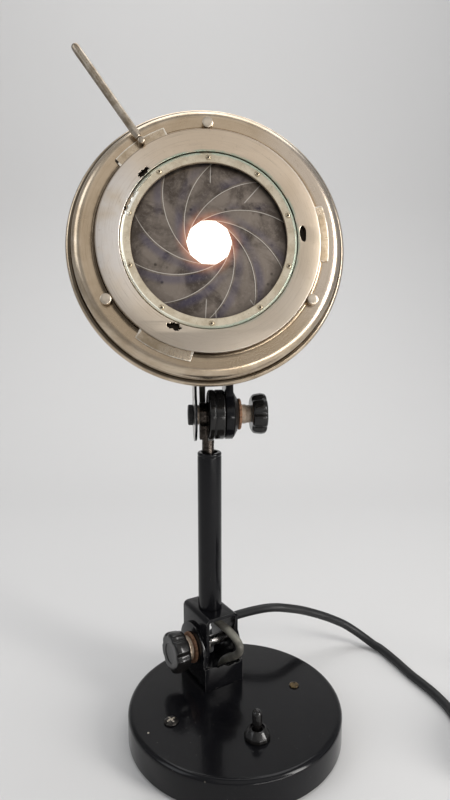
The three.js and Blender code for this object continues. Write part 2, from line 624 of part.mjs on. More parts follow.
function buildCord() {
  const foot = new THREE.Vector3(...BOOT_FOOT);
  const exit = new THREE.Vector3(...CORD_EXIT);
  const length = foot.distanceTo(exit) - 2 * GAP;
  const cone = [[0, -8], [6.2, -8], [6.2, 3], [4.6, length], [0, length]];
  const profile = cone.map(([r, z]) => new THREE.Vector2(r, z));
  const along = exit.clone().sub(foot).normalize();
  const lean = new THREE.Quaternion().setFromUnitVectors(new THREE.Vector3(0, 0, 1), along);
  const sleeve = new THREE.LatheGeometry(profile, 16).rotateX(Math.PI / 2);
  sleeve.applyQuaternion(lean).translate(...BOOT_FOOT);
  const above = box([100, 100, 100], [foot.x, foot.y, foot.z + 50]);
  const footDisc = disc(6.8, foot.z, foot.z + 3).translate([foot.x, foot.y, 0]);
  add(lamp, 'cord_boot', toSolid(sleeve).intersect(above).add(footDisc), rubber);

  add(lamp, 'mains_cord', cordSolid(CORD_ROUTE, CORD_RADIUS, 8, 40), rubber);
  const inner = COIL_INNER_TURN - CORD_RADIUS - 0.2;
  const outer = COIL_OUTER_TURN + CORD_RADIUS;
  const high = COIL_LAYERS * 2 * CORD_RADIUS;
  const coil = turned([[inner, 0], [outer, 0], [outer, high], [inner, high]], 32);
  add(lamp, 'cord_coil', coil.translate([...COIL_CENTRE, 0]), rubber);
  add(lamp, 'cord_tail', cordSolid(TAIL_ROUTE, CORD_RADIUS, 8, 4), rubber);

  const plug = new THREE.Group();
  plug.position.set(...PLUG_AT);
  plug.rotation.x = -Math.PI / 2;
  lamp.add(plug);
  let body = turned([[0, 0], [4.8, 0], [6.2, 16], [13, 21], [13, 40], [12, 42], [0, 42]], 20);
  const pin = turned([[0, 38], [2.4, 38], [2.4, 59.6], [1.6, 61], [0, 61]], 12);
  for (const x of [-9.5, 9.5]) {
    body = body.add(pin.translate([x, 0, 0]));
  }
  add(plug, 'mains_plug', body, bakelite);
}

// ---------------------------------------------------------------- assembly

const joint = new THREE.Group();
joint.position.set(...JOINT_AT);
joint.rotation.z = JOINT_YAW * DEG;
lamp.add(joint);

const arm = new THREE.Group();
arm.position.set(JOINT_AT[0], JOINT_AT[1], 0);
lamp.add(arm);

const head = new THREE.Group();
head.position.set(JOINT_AT[0], JOINT_AT[1], TILT_Z);
head.rotation.order = 'ZYX';
head.rotation.z = HEAD_YAW * DEG;
head.rotation.x = (90 - HEAD_ELEVATION) * DEG;
lamp.add(head);

const face = new THREE.Group();
face.position.set(...FACE_OFFSET);
head.add(face);

buildBase();
buildSwitch();
buildLowerJoint(joint);
buildPost(arm);
buildUpperJoint(head);
buildHead(face);
buildLeads(joint);
buildCord();

export default lamp;
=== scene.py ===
"""Looks of the iris table lamp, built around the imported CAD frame. +Z is up and the lamp faces -Y.

Sizes are millimetres, scaled where a mesh or a matrix is made. Only the lights are placed in metres."""

import json
import math
import random

import bmesh
import bpy
from mathutils import Matrix, Vector


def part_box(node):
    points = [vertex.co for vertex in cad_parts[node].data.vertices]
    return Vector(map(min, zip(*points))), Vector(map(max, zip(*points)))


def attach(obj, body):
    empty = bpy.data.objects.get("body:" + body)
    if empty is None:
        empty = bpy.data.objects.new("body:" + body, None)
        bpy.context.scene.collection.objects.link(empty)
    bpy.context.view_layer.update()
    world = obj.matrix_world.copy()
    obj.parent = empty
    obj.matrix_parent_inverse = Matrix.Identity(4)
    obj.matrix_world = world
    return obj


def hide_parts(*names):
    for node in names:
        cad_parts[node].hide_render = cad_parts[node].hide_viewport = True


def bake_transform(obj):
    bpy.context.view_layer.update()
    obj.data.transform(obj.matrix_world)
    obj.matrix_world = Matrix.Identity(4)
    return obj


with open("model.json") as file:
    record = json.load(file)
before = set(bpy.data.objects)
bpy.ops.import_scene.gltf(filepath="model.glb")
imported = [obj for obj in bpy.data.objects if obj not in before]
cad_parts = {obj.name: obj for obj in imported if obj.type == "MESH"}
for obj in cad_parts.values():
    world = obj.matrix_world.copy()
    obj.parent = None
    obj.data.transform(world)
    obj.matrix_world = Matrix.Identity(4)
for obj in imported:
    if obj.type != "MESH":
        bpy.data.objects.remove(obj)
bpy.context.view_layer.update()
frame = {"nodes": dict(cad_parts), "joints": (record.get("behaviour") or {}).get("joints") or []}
MM = 0.001

# ---------------------------------------------------------------- places taken from the frame

JOINTS = {joint["name"]: joint for joint in frame["joints"]}


def axes_at(origin, x_axis, z_axis):
    """A frame with its origin in metres and two of its axes."""
    x = Vector(x_axis).normalized()
    z = Vector(z_axis).normalized()
    y = z.cross(x)
    matrix = Matrix((x, y, z)).transposed().to_4x4()
    matrix.translation = Vector(origin)
    return matrix


def moved(x, y, z=0):
    return Matrix.Translation((x * MM, y * MM, z * MM))


def spun(degrees, axis="Z"):
    return Matrix.Rotation(math.radians(degrees), 4, axis)


ACROSS = Vector(JOINTS["head_tilt"]["axis"])
NORMAL = Vector(JOINTS["iris_turn"]["axis"])
BOLT = Vector(JOINTS["arm_tilt"]["axis"])
FACE = axes_at(JOINTS["iris_turn"]["pos_m"], ACROSS, NORMAL)
HEAD = axes_at(JOINTS["head_tilt"]["pos_m"], ACROSS, NORMAL)
LOWER = axes_at(JOINTS["arm_tilt"]["pos_m"], BOLT, (0, 0, 1))
POST = Matrix.Translation((*JOINTS["arm_tilt"]["pos_m"][:2], 0))
TOGGLE = Vector(JOINTS["switch_toggle"]["pos_m"])
WORLD = Matrix.Identity(4)
ALONG_X = spun(90, "Y")

BASE_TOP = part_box("base_shell")[1].z / MM

# ---------------------------------------------------------------- outlines

CORNER_STEPS = 4


def polar(radius, degrees):
    return (radius * math.cos(math.radians(degrees)), radius * math.sin(math.radians(degrees)))


def arc(centre, radius, start, end, count):
    points = []
    for i in range(count + 1):
        x, y = polar(radius, start + (end - start) * i / count)
        points.append((centre[0] + x, centre[1] + y))
    return points


def rounded(points, radius):
    """The outline with each corner replaced by a curve of about that radius, or of the corner's own.

    A profile that ends on the axis is open, and any other outline is closed."""
    made = []
    count = len(points)
    closed = points[-1][0] != 0
    for i in range(count):
        here = Vector(points[i][:2])
        size = points[i][2] if len(points[i]) > 2 else radius
        if size == 0 or (not closed and i in (0, count - 1)):
            made.append(tuple(here))
            continue
        before = Vector(points[i - 1][:2]) - here
        after = Vector(points[(i + 1) % count][:2]) - here
        reach = min(size, before.length * 0.45, after.length * 0.45)
        first = here + before.normalized() * reach
        last = here + after.normalized() * reach
        for k in range(CORNER_STEPS + 1):
            t = k / CORNER_STEPS
            made.append(tuple(first * (1 - t) ** 2 + here * (2 * t * (1 - t)) + last * t ** 2))
    return made


# ---------------------------------------------------------------- meshes

ON_AXIS = 1e-6
WELD_WITHIN = 0.01


def add_object(name, data):
    made = bpy.data.objects.new(name, data)
    bpy.context.scene.collection.objects.link(made)
    return made


def shade(mesh, smooth_angle):
    mesh.shade_smooth()
    mesh.set_sharp_from_angle(angle=math.radians(smooth_angle))


def new_object(name, vertices, faces, place, smooth_angle=35):
    mesh = bpy.data.meshes.new(name)
    mesh.from_pydata([Vector(v) * MM for v in vertices], [], faces)
    return finish_mesh(name, mesh, place, smooth_angle)


def finish_mesh(name, mesh, place, smooth_angle):
    mesh.validate()
    shade(mesh, smooth_angle)
    piece = add_object(name, mesh)
    piece.matrix_world = place
    return piece


def turned(name, profile, place, segments=96, smooth_angle=35, shape=None):
    """A profile of (radius, z) turned about the local Z axis; shape(radius, angle) may alter a radius."""
    vertices = []
    rings = []
    for radius, z in profile:
        if radius < ON_AXIS:
            rings.append([len(vertices)])
            vertices.append((0, 0, z))
            continue
        rings.append(list(range(len(vertices), len(vertices) + segments)))
        for i in range(segments):
            angle = 2 * math.pi * i / segments
            reach = shape(radius, angle) if shape else radius
            vertices.append((reach * math.cos(angle), reach * math.sin(angle), z))
    closed = len(rings[0]) > 1 and len(rings[-1]) > 1
    faces = []
    for low, high in zip(rings, rings[1:] + (rings[:1] if closed else [])):
        for i in range(segments):
            j = (i + 1) % segments
            if len(low) == 1:
                faces.append((low[0], high[j], high[i]))
            elif len(high) == 1:
                faces.append((low[i], low[j], high[0]))
            else:
                faces.append((low[i], low[j], high[j], high[i]))
    piece = new_object(name, vertices, faces, place, smooth_angle)
    face_outwards(piece)
    return piece


def rod(name, radius, low, high, place, segments):
    return turned(name, [(0.0, low), (radius, low), (radius, high), (0.0, high)], place, segments)


def face_outwards(piece):
    work = bmesh.new()
    work.from_mesh(piece.data)
    bmesh.ops.recalc_face_normals(work, faces=work.faces)
    if work.calc_volume(signed=True) < 0:
        bmesh.ops.reverse_faces(work, faces=work.faces)
    work.to_mesh(piece.data)
    work.free()


def weld(piece):
    """Merges points that lie together."""
    work = bmesh.new()
    work.from_mesh(piece.data)
    bmesh.ops.remove_doubles(work, verts=work.verts, dist=WELD_WITHIN * MM)
    bmesh.ops.recalc_face_normals(work, faces=work.faces)
    work.to_mesh(piece.data)
    work.free()


def plate(name, outlines, low, high, place, bevel, smooth_angle=35):
    """Flat outlines, the first one outside and the others holes, made into a plate with eased edges."""
    curve = bpy.data.curves.new(name, "CURVE")
    curve.dimensions = "2D"
    curve.fill_mode = "BOTH"
    curve.extrude = ((high - low) / 2 - bevel) * MM
    curve.bevel_depth = bevel * MM
    curve.bevel_resolution = 2
    curve.offset = -bevel * MM
    for outline in outlines:
        spline = curve.splines.new("POLY")
        spline.points.add(len(outline) - 1)
        for point, (x, y) in zip(spline.points, outline):
            point.co = (x * MM, y * MM, 0, 1)
        spline.use_cyclic_u = True
    holder = add_object(name + "_outline", curve)
    bpy.context.view_layer.update()
    mesh = bpy.data.meshes.new_from_object(holder)
    mesh.transform(moved(0, 0, (low + high) / 2))
    bpy.data.objects.remove(holder)
    mesh.name = name
    piece = finish_mesh(name, mesh, place, smooth_angle)
    weld(piece)
    return piece


def swept(name, path, radius, place, sides=24, smooth_angle=60):
    """A round bar along points; radius is a number or a function of the share of the way along."""
    points = [Vector(p) for p in path]
    tangents = []
    for i in range(len(points)):
        tangents.append((points[min(i + 1, len(points) - 1)] - points[max(i - 1, 0)]).normalized())
    side = tangents[0].orthogonal().normalized()
    vertices = []
    for i, (point, tangent) in enumerate(zip(points, tangents)):
        side = (side - tangent * side.dot(tangent)).normalized()
        other = tangent.cross(side)
        here = radius(i / (len(points) - 1)) if callable(radius) else radius
        for k in range(sides):
            angle = 2 * math.pi * k / sides
            vertices.append(point + side * (here * math.cos(angle)) + other * (here * math.sin(angle)))
    faces = []
    for i in range(len(points) - 1):
        for k in range(sides):
            a, b = i * sides + k, i * sides + (k + 1) % sides
            faces.append((a, b, b + sides, a + sides))
    faces.append(tuple(reversed(range(sides))))
    faces.append(tuple(range(len(vertices) - sides, len(vertices))))
    return new_object(name, vertices, faces, place, smooth_angle)


def smooth_path(points, count):
    """Catmull-Rom through the points, evenly sampled."""
    knots = [Vector(p) for p in points]
    dense = []
    for i in range(len(knots) - 1):
        a = knots[max(i - 1, 0)]
        b, c = knots[i], knots[i + 1]
        d = knots[min(i + 2, len(knots) - 1)]
        for k in range(24):
            t = k / 24
            dense.append(0.5 * (2 * b + (c - a) * t + (2 * a - 5 * b + 4 * c - d) * t ** 2
                                + (3 * b - a - 3 * c + d) * t ** 3))
    dense.append(knots[-1])
    lengths = [0.0]
    for one, two in zip(dense, dense[1:]):
        lengths.append(lengths[-1] + (two - one).length)
    made = []
    at = 0
    for i in range(count + 1):
        target = lengths[-1] * i / count
        while at < len(lengths) - 2 and lengths[at + 1] < target:
            at += 1
        span = max(lengths[at + 1] - lengths[at], 1e-9)
        made.append(dense[at].lerp(dense[at + 1], (target - lengths[at]) / span))
    return made


def cut(piece, cutters):
    """Cuts the pieces in cutters out of piece."""
    for cutter in cutters:
        step = piece.modifiers.new("cut", "BOOLEAN")
        step.operation = "DIFFERENCE"
        step.solver = "EXACT"
        step.object = cutter
    apply_modifiers(piece)
    for cutter in cutters:
        bpy.data.objects.remove(cutter)


def apply_modifiers(piece, smooth_angle=35):
    bpy.context.view_layer.update()
    mesh = bpy.data.meshes.new_from_object(piece.evaluated_get(bpy.context.evaluated_depsgraph_get()))
    piece.modifiers.clear()
    piece.data = mesh
    shade(mesh, smooth_angle)


def join(name, parts):
    """One piece from several."""
    bpy.context.view_layer.update()
    with bpy.context.temp_override(active_object=parts[0], selected_editable_objects=parts):
        bpy.ops.object.join()
    parts[0].name = name
    return parts[0]


def block(name, size, centre, place):
    x, y, z = (s / 2 for s in size)
    corners = [(i, j, k) for i in (-x, x) for j in (-y, y) for k in (-z, z)]
    vertices = [tuple(a + b for a, b in zip(corner, centre)) for corner in corners]
    faces = [(0, 1, 3, 2), (4, 6, 7, 5), (0, 4, 5, 1), (2, 3, 7, 6), (0, 2, 6, 4), (1, 5, 7, 3)]
    return new_object(name, vertices, faces, place)


def install(piece, body, material, slot, *nodes):
    """The piece moves with body, has the material, and stands for the CAD nodes."""
    piece.data.materials.clear()
    piece.data.materials.append(material)
    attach(piece, body)
    if nodes:
        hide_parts(*nodes)
    return piece


DRESS_ANGLE = 38


def ease(piece, width, segments, angle):
    """Rounds the edges that are sharper than angle."""
    edge = piece.modifiers.new("eased edges", "BEVEL")
    edge.width = width * MM
    edge.segments = segments
    edge.limit_method = "ANGLE"
    edge.angle_limit = math.radians(angle)
    return edge


def dress(node, material, bevel):
    """Gives a CAD node that stays its material and eased edges."""
    piece = frame["nodes"][node]
    piece.data.materials.clear()
    piece.data.materials.append(material)
    ease(piece, bevel, 2, DRESS_ANGLE).harden_normals = True
    shade(piece.data, DRESS_ANGLE)


# ---------------------------------------------------------------- materials


class Finish:
    """A material grown step by step round one Principled shader. Distances in it are millimetres."""

    def __init__(self, name, metallic=0.0, roughness=0.4, **uniform):
        self.material = bpy.data.materials.new(name)
        self.material.use_nodes = True
        self.tree = self.material.node_tree
        self.shader = self.tree.nodes["Principled BSDF"]
        self.shader.inputs["Metallic"].default_value = metallic
        self.shader.inputs["Roughness"].default_value = roughness
        for socket, value in uniform.items():
            self.shader.inputs[socket.replace("_", " ")].default_value = value
        self.tone = None
        self.relief = None
        coordinates = self.tree.nodes.new("ShaderNodeTexCoord")
        self.place = self.vector("SCALE", coordinates.outputs["Object"], Scale=1 / MM)

    def feed(self, socket, value):
        if isinstance(value, bpy.types.NodeSocket):
            self.tree.links.new(value, socket)
        elif isinstance(value, tuple) and len(value) == 3 and socket.type == "RGBA":
            socket.default_value = (*value, 1)
        else:
            socket.default_value = value

    def node(self, kind, inputs, **settings):
        """A new node with these settings and these inputs, given by name or number."""
        made = self.tree.nodes.new("ShaderNode" + kind)
        for key, value in settings.items():
            setattr(made, key, value)
        for key, value in inputs.items():
            self.feed(made.inputs[key], value)
        return made

    def math(self, operation, *values):
        return self.node("Math", dict(enumerate(values)), operation=operation).outputs[0]

    def times(self, *values):
        made = values[0]
        for value in values[1:]:
            made = self.math("MULTIPLY", made, value)
        return made

    def vector(self, operation, *values, **more):
        node = self.node("VectorMath", {**dict(enumerate(values)), **more}, operation=operation)
        return node.outputs["Value" if operation in ("LENGTH", "DISTANCE", "DOT_PRODUCT") else "Vector"]

    def split(self, vector):
        return self.node("SeparateXYZ", {0: vector}).outputs

    def combine(self, x, y, z):
        return self.node("CombineXYZ", {0: x, 1: y, 2: z}).outputs[0]

    def stretched(self, x, y, z):
        return self.vector("MULTIPLY", self.place, (x, y, z))

    def noise(self, scale, detail=3.0, rough=0.6, at=None, warp=0.0):
        return self.node("TexNoise", {"Vector": at or self.place, "Scale": scale, "Detail": detail,
                                      "Roughness": rough, "Distortion": warp}).outputs["Fac"]

    def cells(self, scale, at=None):
        """Distance to scattered points, in cells."""
        return self.node("TexVoronoi", {"Vector": at or self.place, "Scale": scale}).outputs["Distance"]

    def between(self, value, low, high):
        """0 at low, 1 at high, whichever of them is larger."""
        ends = {"From Min": min(low, high), "From Max": max(low, high),
                "To Min": int(low > high), "To Max": int(low <= high)}
        node = self.node("MapRange", {"Value": value, **ends}, interpolation_type="SMOOTHSTEP")
        return node.outputs["Result"]

    def patches(self, low, high, *noise, **more):
        """Soft-edged patches: 0 where the noise is under low, 1 where it is over high."""
        return self.between(self.noise(*noise, **more), low, high)

    def mix(self, share, first, second):
        """Of two colours."""
        return self.node("Mix", {0: share, 6: first, 7: second}, data_type="RGBA").outputs[2]

    def blend(self, share, first, second):
        """Of two numbers."""
        return self.node("Mix", {0: share, 2: first, 3: second}).outputs[0]

    def radius(self):
        x, y, _ = self.split(self.place)
        return self.vector("LENGTH", self.combine(x, y, 0.0))

    def height(self):
        return self.split(self.place)[2]

    def angle(self):
        """Degrees round local Z."""
        x, y, _ = self.split(self.place)
        return self.times(self.math("ARCTAN2", y, x), 180 / math.pi)

    def off_angle(self, degrees):
        """How far round from that direction, 0 to 180 degrees."""
        turn = self.math("SUBTRACT", self.angle(), float(degrees))
        return self.math("ABSOLUTE", self.math("WRAP", turn, 180.0, -180.0))

    def toward(self, degrees, none, full):
        """1 within full degrees of that direction, 0 beyond none degrees."""
        return self.between(self.off_angle(degrees), none, full)

    def around(self, fine, coarse):
        """Coordinates that change quickly with radius and slowly round the axis, as on turned metal."""
        x, y, z = self.split(self.place)
        flat = self.combine(x, y, 0.0)
        ux, uy, _ = self.split(self.vector("NORMALIZE", flat))
        radius = self.vector("LENGTH", flat)
        depth = self.times(z, fine)
        return self.combine(self.math("ADD", self.times(radius, fine), depth),
                            self.times(ux, coarse), self.times(uy, coarse))

    def tones(self, share, first, second):
        """Starts the colour: first where share is 0, second where it is 1."""
        self.tone = self.mix(share, first, second)
        self.feed(self.shader.inputs["Base Color"], self.tone)

    def stain(self, color, *shares):
        """Lays a colour over the tone so far, as much as the product of the shares."""
        self.tones(self.times(*shares), self.tone, color)

    def roughness(self, value):
        self.feed(self.shader.inputs["Roughness"], value)

    def glow(self, value):
        self.feed(self.shader.inputs["Emission Color"], value)

    def bump(self, height, depth):
        """Adds relief; depth is in millimetres for a height of 1."""
        below = {"Normal": self.relief} if self.relief else {}
        self.relief = self.node("Bump", {"Distance": depth * MM, "Height": height, **below}).outputs["Normal"]
        self.feed(self.shader.inputs["Normal"], self.relief)


def black_enamel(name, chips=(), dust=0.5, worn=0.0):
    """Gloss paint with dust, smears and chips down to pale primer at the given (x, y, z, size) places."""
    f = Finish(name, roughness=0.15, Specular_IOR_Level=0.19, Coat_Weight=0.09, Coat_Roughness=0.04)
    smear = f.noise(0.035, 4, 0.6, warp=0.6)
    f.tones(smear, (0.0025, 0.0025, 0.0032), (0.006, 0.006, 0.0072))
    speck = f.times(f.between(f.cells(0.21), 0.055, 0.03), f.patches(0.42, 0.6, 0.05, 2))
    fine = f.times(f.between(f.cells(0.55), 0.08, 0.03), f.patches(0.45, 0.62, 0.03, 2))
    f.stain((0.32, 0.31, 0.29), f.math("MAXIMUM", speck, fine), dust)
    if worn:
        f.stain((0.30, 0.29, 0.28), f.patches(0.36, 0.6, 0.35, 4, 0.7), worn)
    rough = f.blend(smear, 0.1, 0.24)
    ragged = f.times(f.noise(0.9, 3), 1.4)
    for x, y, z, size in chips:
        apart = f.math("ADD", f.vector("DISTANCE", f.place, (x, y, z)), ragged)
        chip = f.between(apart, size + 1.0, size + 0.5)
        f.stain((0.42, 0.38, 0.31), chip)
        rough = f.blend(chip, rough, 0.6)
    f.roughness(rough)
    f.bump(f.noise(0.22, 2, 0.5), 0.05)
    f.bump(f.noise(1.6, 2, 0.5), 0.006)
    return f.material


def bakelite(name):
    f = Finish(name, roughness=0.2, Specular_IOR_Level=0.34, Coat_Weight=0.15, Coat_Roughness=0.04)
    cloud = f.noise(0.12, 4, 0.6)
    f.tones(cloud, (0.004, 0.0038, 0.0038), (0.010, 0.009, 0.0085))
    f.stain((0.09, 0.085, 0.08), f.patches(0.58, 0.75, 0.5, 5, 0.7), 0.22)
    f.roughness(f.blend(cloud, 0.12, 0.3))
    f.bump(f.noise(1.1, 4, 0.6), 0.012)
    return f.material


def black_metal(name):
    f = Finish(name, metallic=0.55, roughness=0.4)
    cloud = f.noise(0.15, 4, 0.65)
    f.tones(cloud, (0.012, 0.012, 0.013), (0.03, 0.028, 0.027))
    f.stain((0.17, 0.16, 0.15), f.patches(0.56, 0.72, 0.35, 5, 0.7))
    f.roughness(f.blend(cloud, 0.28, 0.5))
    f.bump(f.noise(1.5, 4, 0.6), 0.03)
    return f.material


NICKEL_BROWN = (0.28, 0.20, 0.125)
CROSS_ANGLE = 40
LUG_ANGLES = (125.0, 4.3, 246.0)
BLADE_COUNT = 10
BLADE_STEP = 36
PIVOT_SPOTS = [polar(54.8, 90 + BLADE_STEP * i) for i in range(BLADE_COUNT)]


def plate_nickel(name):
    """Satin turned nickel of the cover plate: fine circles, tan towards the top, a painted grey reflection at
    the left, painted highlight and shade on the rim, painted shade at the lower right and on the sides.
    """
    f = Finish(name, metallic=1.0, roughness=0.3)
    radius = f.radius()
    cloud = f.noise(0.022, 5, 0.55, warp=0.5)
    lines = f.noise(1.0, 4, 0.75, at=f.around(2.6, 2.0))
    f.tones(f.between(cloud, 0.35, 0.65), (0.72, 0.62, 0.505), (0.60, 0.50, 0.385))
    # Painted reflection: a patchy grey sheen on the left of the plate.
    f.stain((0.74, 0.70, 0.665), f.toward(172, 60.0, 15.0), f.patches(0.2, 0.6, 0.04, 3), 0.85)
    f.stain((0.60, 0.475, 0.35), f.toward(72, 85.0, 25.0), 0.6)
    f.stain((0.38, 0.31, 0.235), f.between(lines, 0.5, 0.8))
    f.stain((0.36, 0.275, 0.19), f.patches(0.58, 0.76, 0.3, 5, 0.72), 0.55)
    f.stain((0.30, 0.22, 0.14), f.patches(0.58, 0.72, 1.9, 4, 0.8), f.patches(0.35, 0.65, 0.08, 3), 0.4)
    # Painted highlight on the rim at the lower right, and a painted dark shade line round the rest of it.
    rim = f.mix(f.toward(-25, 110.0, 60.0), (0.22, 0.165, 0.11), (0.88, 0.82, 0.74))
    f.stain(rim, f.between(radius, 73.1, 73.6), 0.7)
    bore = f.times(f.between(radius, 60.6, 59.0), f.toward(30, 140.0, 80.0))
    f.stain((0.36, 0.42, 0.33), bore, f.patches(0.34, 0.6, 0.12, 4))
    # Painted shade: the plate is darker at the lower right.
    f.stain((0.42, 0.36, 0.295), f.toward(-62, 75.0, 15.0), 0.55)
    # Painted shade on the plate's sides and on the walls of its worn holes.
    f.stain((0.20, 0.155, 0.11), f.between(f.height(), -0.5, -1.0))
    f.roughness(f.blend(cloud, f.blend(lines, 0.17, 0.4), 0.34))
    f.bump(lines, 0.014)
    f.bump(f.noise(0.07, 3), 0.06)
    f.bump(f.patches(0.66, 0.7, 1.0, 2, 0.4, at=f.stretched(0.05, 1.4, 1.0)), 0.008)
    return f.material


def body_nickel(name):
    """Warm worn plating: browner on the flat band, brighter on the shoulder, gritty at the lower right."""
    f = Finish(name, metallic=1.0, roughness=0.3)
    radius = f.radius()
    z = f.height()
    front = f.between(z, -8.0, -6.0)
    lines = f.noise(1.0, 4, 0.75, at=f.around(2.2, 2.5))
    cloud = f.noise(0.05, 5, 0.62, warp=0.4)
    f.tones(f.between(cloud, 0.35, 0.66), (0.66, 0.55, 0.42), (0.48, 0.38, 0.27))
    band = f.times(f.between(radius, 86.5, 82.5), front)
    f.stain((0.46, 0.35, 0.235), band, 0.7)
    # Painted highlight on the step ring at the right.
    f.stain((0.62, 0.56, 0.50), f.toward(12, 65.0, 30.0), f.between(radius, 76.0, 79.0), 0.5)
    f.stain((0.31, 0.235, 0.15), f.between(lines, 0.52, 0.8))
    grit = f.times(f.patches(0.52, 0.7, 1.6, 5, 0.75), f.toward(-50, 50.0, 10.0), band)
    f.stain((0.16, 0.125, 0.09), grit, 0.42)
    f.stain((0.24, 0.175, 0.11), f.patches(0.56, 0.7, 2.2, 4, 0.8), f.patches(0.3, 0.65, 0.09, 3), 0.5)
    f.stain(NICKEL_BROWN, f.patches(0.58, 0.74, 0.4, 5, 0.75), 0.5)
    ragged = f.math("ADD", radius, f.times(f.noise(0.25, 4), 2.0))
    shade_at_plate = f.times(f.between(ragged, 79.6, 76.2), f.toward(205, 105.0, 60.0), front)
    f.stain((0.05, 0.035, 0.022), shade_at_plate, 0.9)
    # Painted shade in the groove between shoulder and bead.
    f.stain((0.05, 0.038, 0.025), f.between(z, -12.6, -13.4), f.between(z, -15.6, -15.0))
    f.roughness(f.math("ADD", f.blend(cloud, 0.19, 0.32), f.times(grit, 0.12)))
    f.bump(lines, 0.012)
    f.bump(f.noise(0.09, 3), 0.06)
    f.bump(grit, 0.012)
    return f.material


def lug_nickel(name):
    """The drive ring: as the body, with painted highlights along the edges of its lugs, and painted shade
    where it lies under the cover plate.
    """
    f = Finish(name, metallic=1.0, roughness=0.3)
    radius = f.radius()
    cloud = f.noise(0.08, 5, 0.65)
    f.tones(f.between(cloud, 0.35, 0.66), (0.62, 0.51, 0.38), (0.42, 0.325, 0.22))
    f.stain(NICKEL_BROWN, f.patches(0.54, 0.7, 0.7, 5, 0.75))
    # Painted highlight along the lugs' outer edges and ends.
    edge = f.between(radius, 79.7, 80.1)
    for lug in LUG_ANGLES:
        apart = f.off_angle(lug)
        edge = f.math("MAXIMUM", edge, f.times(f.between(apart, 13.45, 13.7), f.between(apart, 15.0, 14.6)))
    # Patchy strength of the painted highlight.
    worn = f.blend(f.patches(0.36, 0.6, 0.13, 3), 0.3, 0.95)
    f.stain((0.90, 0.84, 0.74), edge, f.between(f.height(), -3.9, -3.7), worn)
    # Painted shade: near black where the ring lies under the cover plate, and a painted shadow at the end of
    # the upper left lug.
    under = f.times(f.between(radius, 73.2, 72.6), f.between(radius, 58.8, 59.3))
    lug_end_shadow = f.times(f.toward(139.0, 0.75, 0.35), f.between(radius, 77.2, 77.8))
    f.stain((0.018, 0.014, 0.011), f.math("MAXIMUM", lug_end_shadow, under))
    f.roughness(f.blend(cloud, 0.18, 0.38))
    f.bump(f.noise(0.7, 4, 0.6), 0.04)
    return f.material


def ring_nickel(name):
    """Yellowed ring that holds the blade pivots, with green corrosion along its outer edge."""
    f = Finish(name, metallic=1.0, roughness=0.34)
    radius = f.radius()
    cloud = f.noise(0.12, 5, 0.65)
    f.tones(f.between(cloud, 0.35, 0.65), (0.71, 0.63, 0.49), (0.56, 0.48, 0.355))
    f.stain((0.27, 0.215, 0.14), f.patches(0.58, 0.7, 0.9, 4, 0.7), 0.6)
    for x, y in PIVOT_SPOTS:
        pin = f.vector("DISTANCE", f.place, (x, y, 0.0))
        f.stain((0.30, 0.23, 0.14), f.between(pin, 2.5, 1.7), f.between(pin, 0.9, 1.4), 0.5)
        # Painted shade: dark in the hollow of each eyelet.
        f.stain((0.06, 0.048, 0.036), f.between(pin, 0.85, 0.55))
    # Painted highlight on the outer bevel at the left.
    f.stain((0.96, 0.94, 0.80), f.between(radius, 55.9, 56.5), f.toward(192, 72.0, 45.0))
    # Painted highlight at the eaten part of the edge.
    f.stain((0.98, 0.96, 0.88), f.toward(155, 10.0, 8.0), f.between(radius, 54.2, 55.2))
    ragged = f.math("ADD", radius, f.times(f.noise(0.35, 4), 1.6))
    green = f.times(f.between(ragged, 56.6, 58.2), f.toward(20, 150.0, 95.0), f.patches(0.3, 0.5, 0.1, 3))
    f.stain((0.25, 0.33, 0.27), green, 0.8)
    f.feed(f.shader.inputs["Metallic"], f.math("SUBTRACT", 1.0, f.times(green, 0.85)))
    f.roughness(f.blend(cloud, 0.22, 0.42))
    threads = f.math("SINE", f.times(f.angle(), 12.0))
    f.bump(f.times(threads, f.toward(141, 11.0, 8.0), f.between(radius, 55.6, 56.2)), 0.25)
    f.bump(f.noise(0.5, 4, 0.6), 0.05)
    return f.material


def stud_nickel(name):
    f = Finish(name, metallic=1.0, roughness=0.3)
    f.tones(f.noise(0.3, 4, 0.6), (0.70, 0.62, 0.52), (0.46, 0.38, 0.29))
    f.roughness(f.blend(f.noise(1.0, 3, at=f.stretched(3.0, 0.4, 0.4)), 0.2, 0.45))
    f.bump(f.noise(1.0, 3, at=f.stretched(4.0, 0.4, 0.4)), 0.02)
    return f.material


def lever_metal(name):
    """Dull rod in brown tarnish, streaked along its length."""
    f = Finish(name, metallic=1.0, roughness=0.33)
    streaks = f.noise(1.0, 4, 0.7, at=f.stretched(0.06, 0.9, 0.9))
    f.tones(f.patches(0.38, 0.64, 0.12, 5, 0.65), (0.47, 0.41, 0.335), (0.28, 0.225, 0.165))
    f.stain((0.20, 0.155, 0.105), f.between(streaks, 0.52, 0.72))
    f.roughness(f.blend(streaks, 0.2, 0.42))
    f.bump(f.noise(1.2, 4, 0.7), 0.03)
    return f.material


def worn_metal(name, cloud, tones, roughness, grain, metallic=1.0):
    """Metal in two cloudy tones, rougher where it is dirty, with a fine relief."""
    f = Finish(name, metallic=metallic, roughness=roughness)
    dirty = f.patches(*cloud)
    f.tones(dirty, *tones)
    f.roughness(f.blend(dirty, 0.24, 0.5))
    f.bump(f.noise(grain, 4, 0.6), 0.03)
    return f.material


def steel(name, tone=(0.55, 0.54, 0.53), dirt=(0.2, 0.17, 0.14)):
    return worn_metal(name, (0.42, 0.68, 0.35, 5, 0.7), (tone, dirt), 0.32, 1.4)


def brass(name, tone, dirt, metallic=0.8):
    return worn_metal(name, (0.4, 0.68, 0.4, 5, 0.7), (tone, dirt), 0.34, 1.2, metallic)


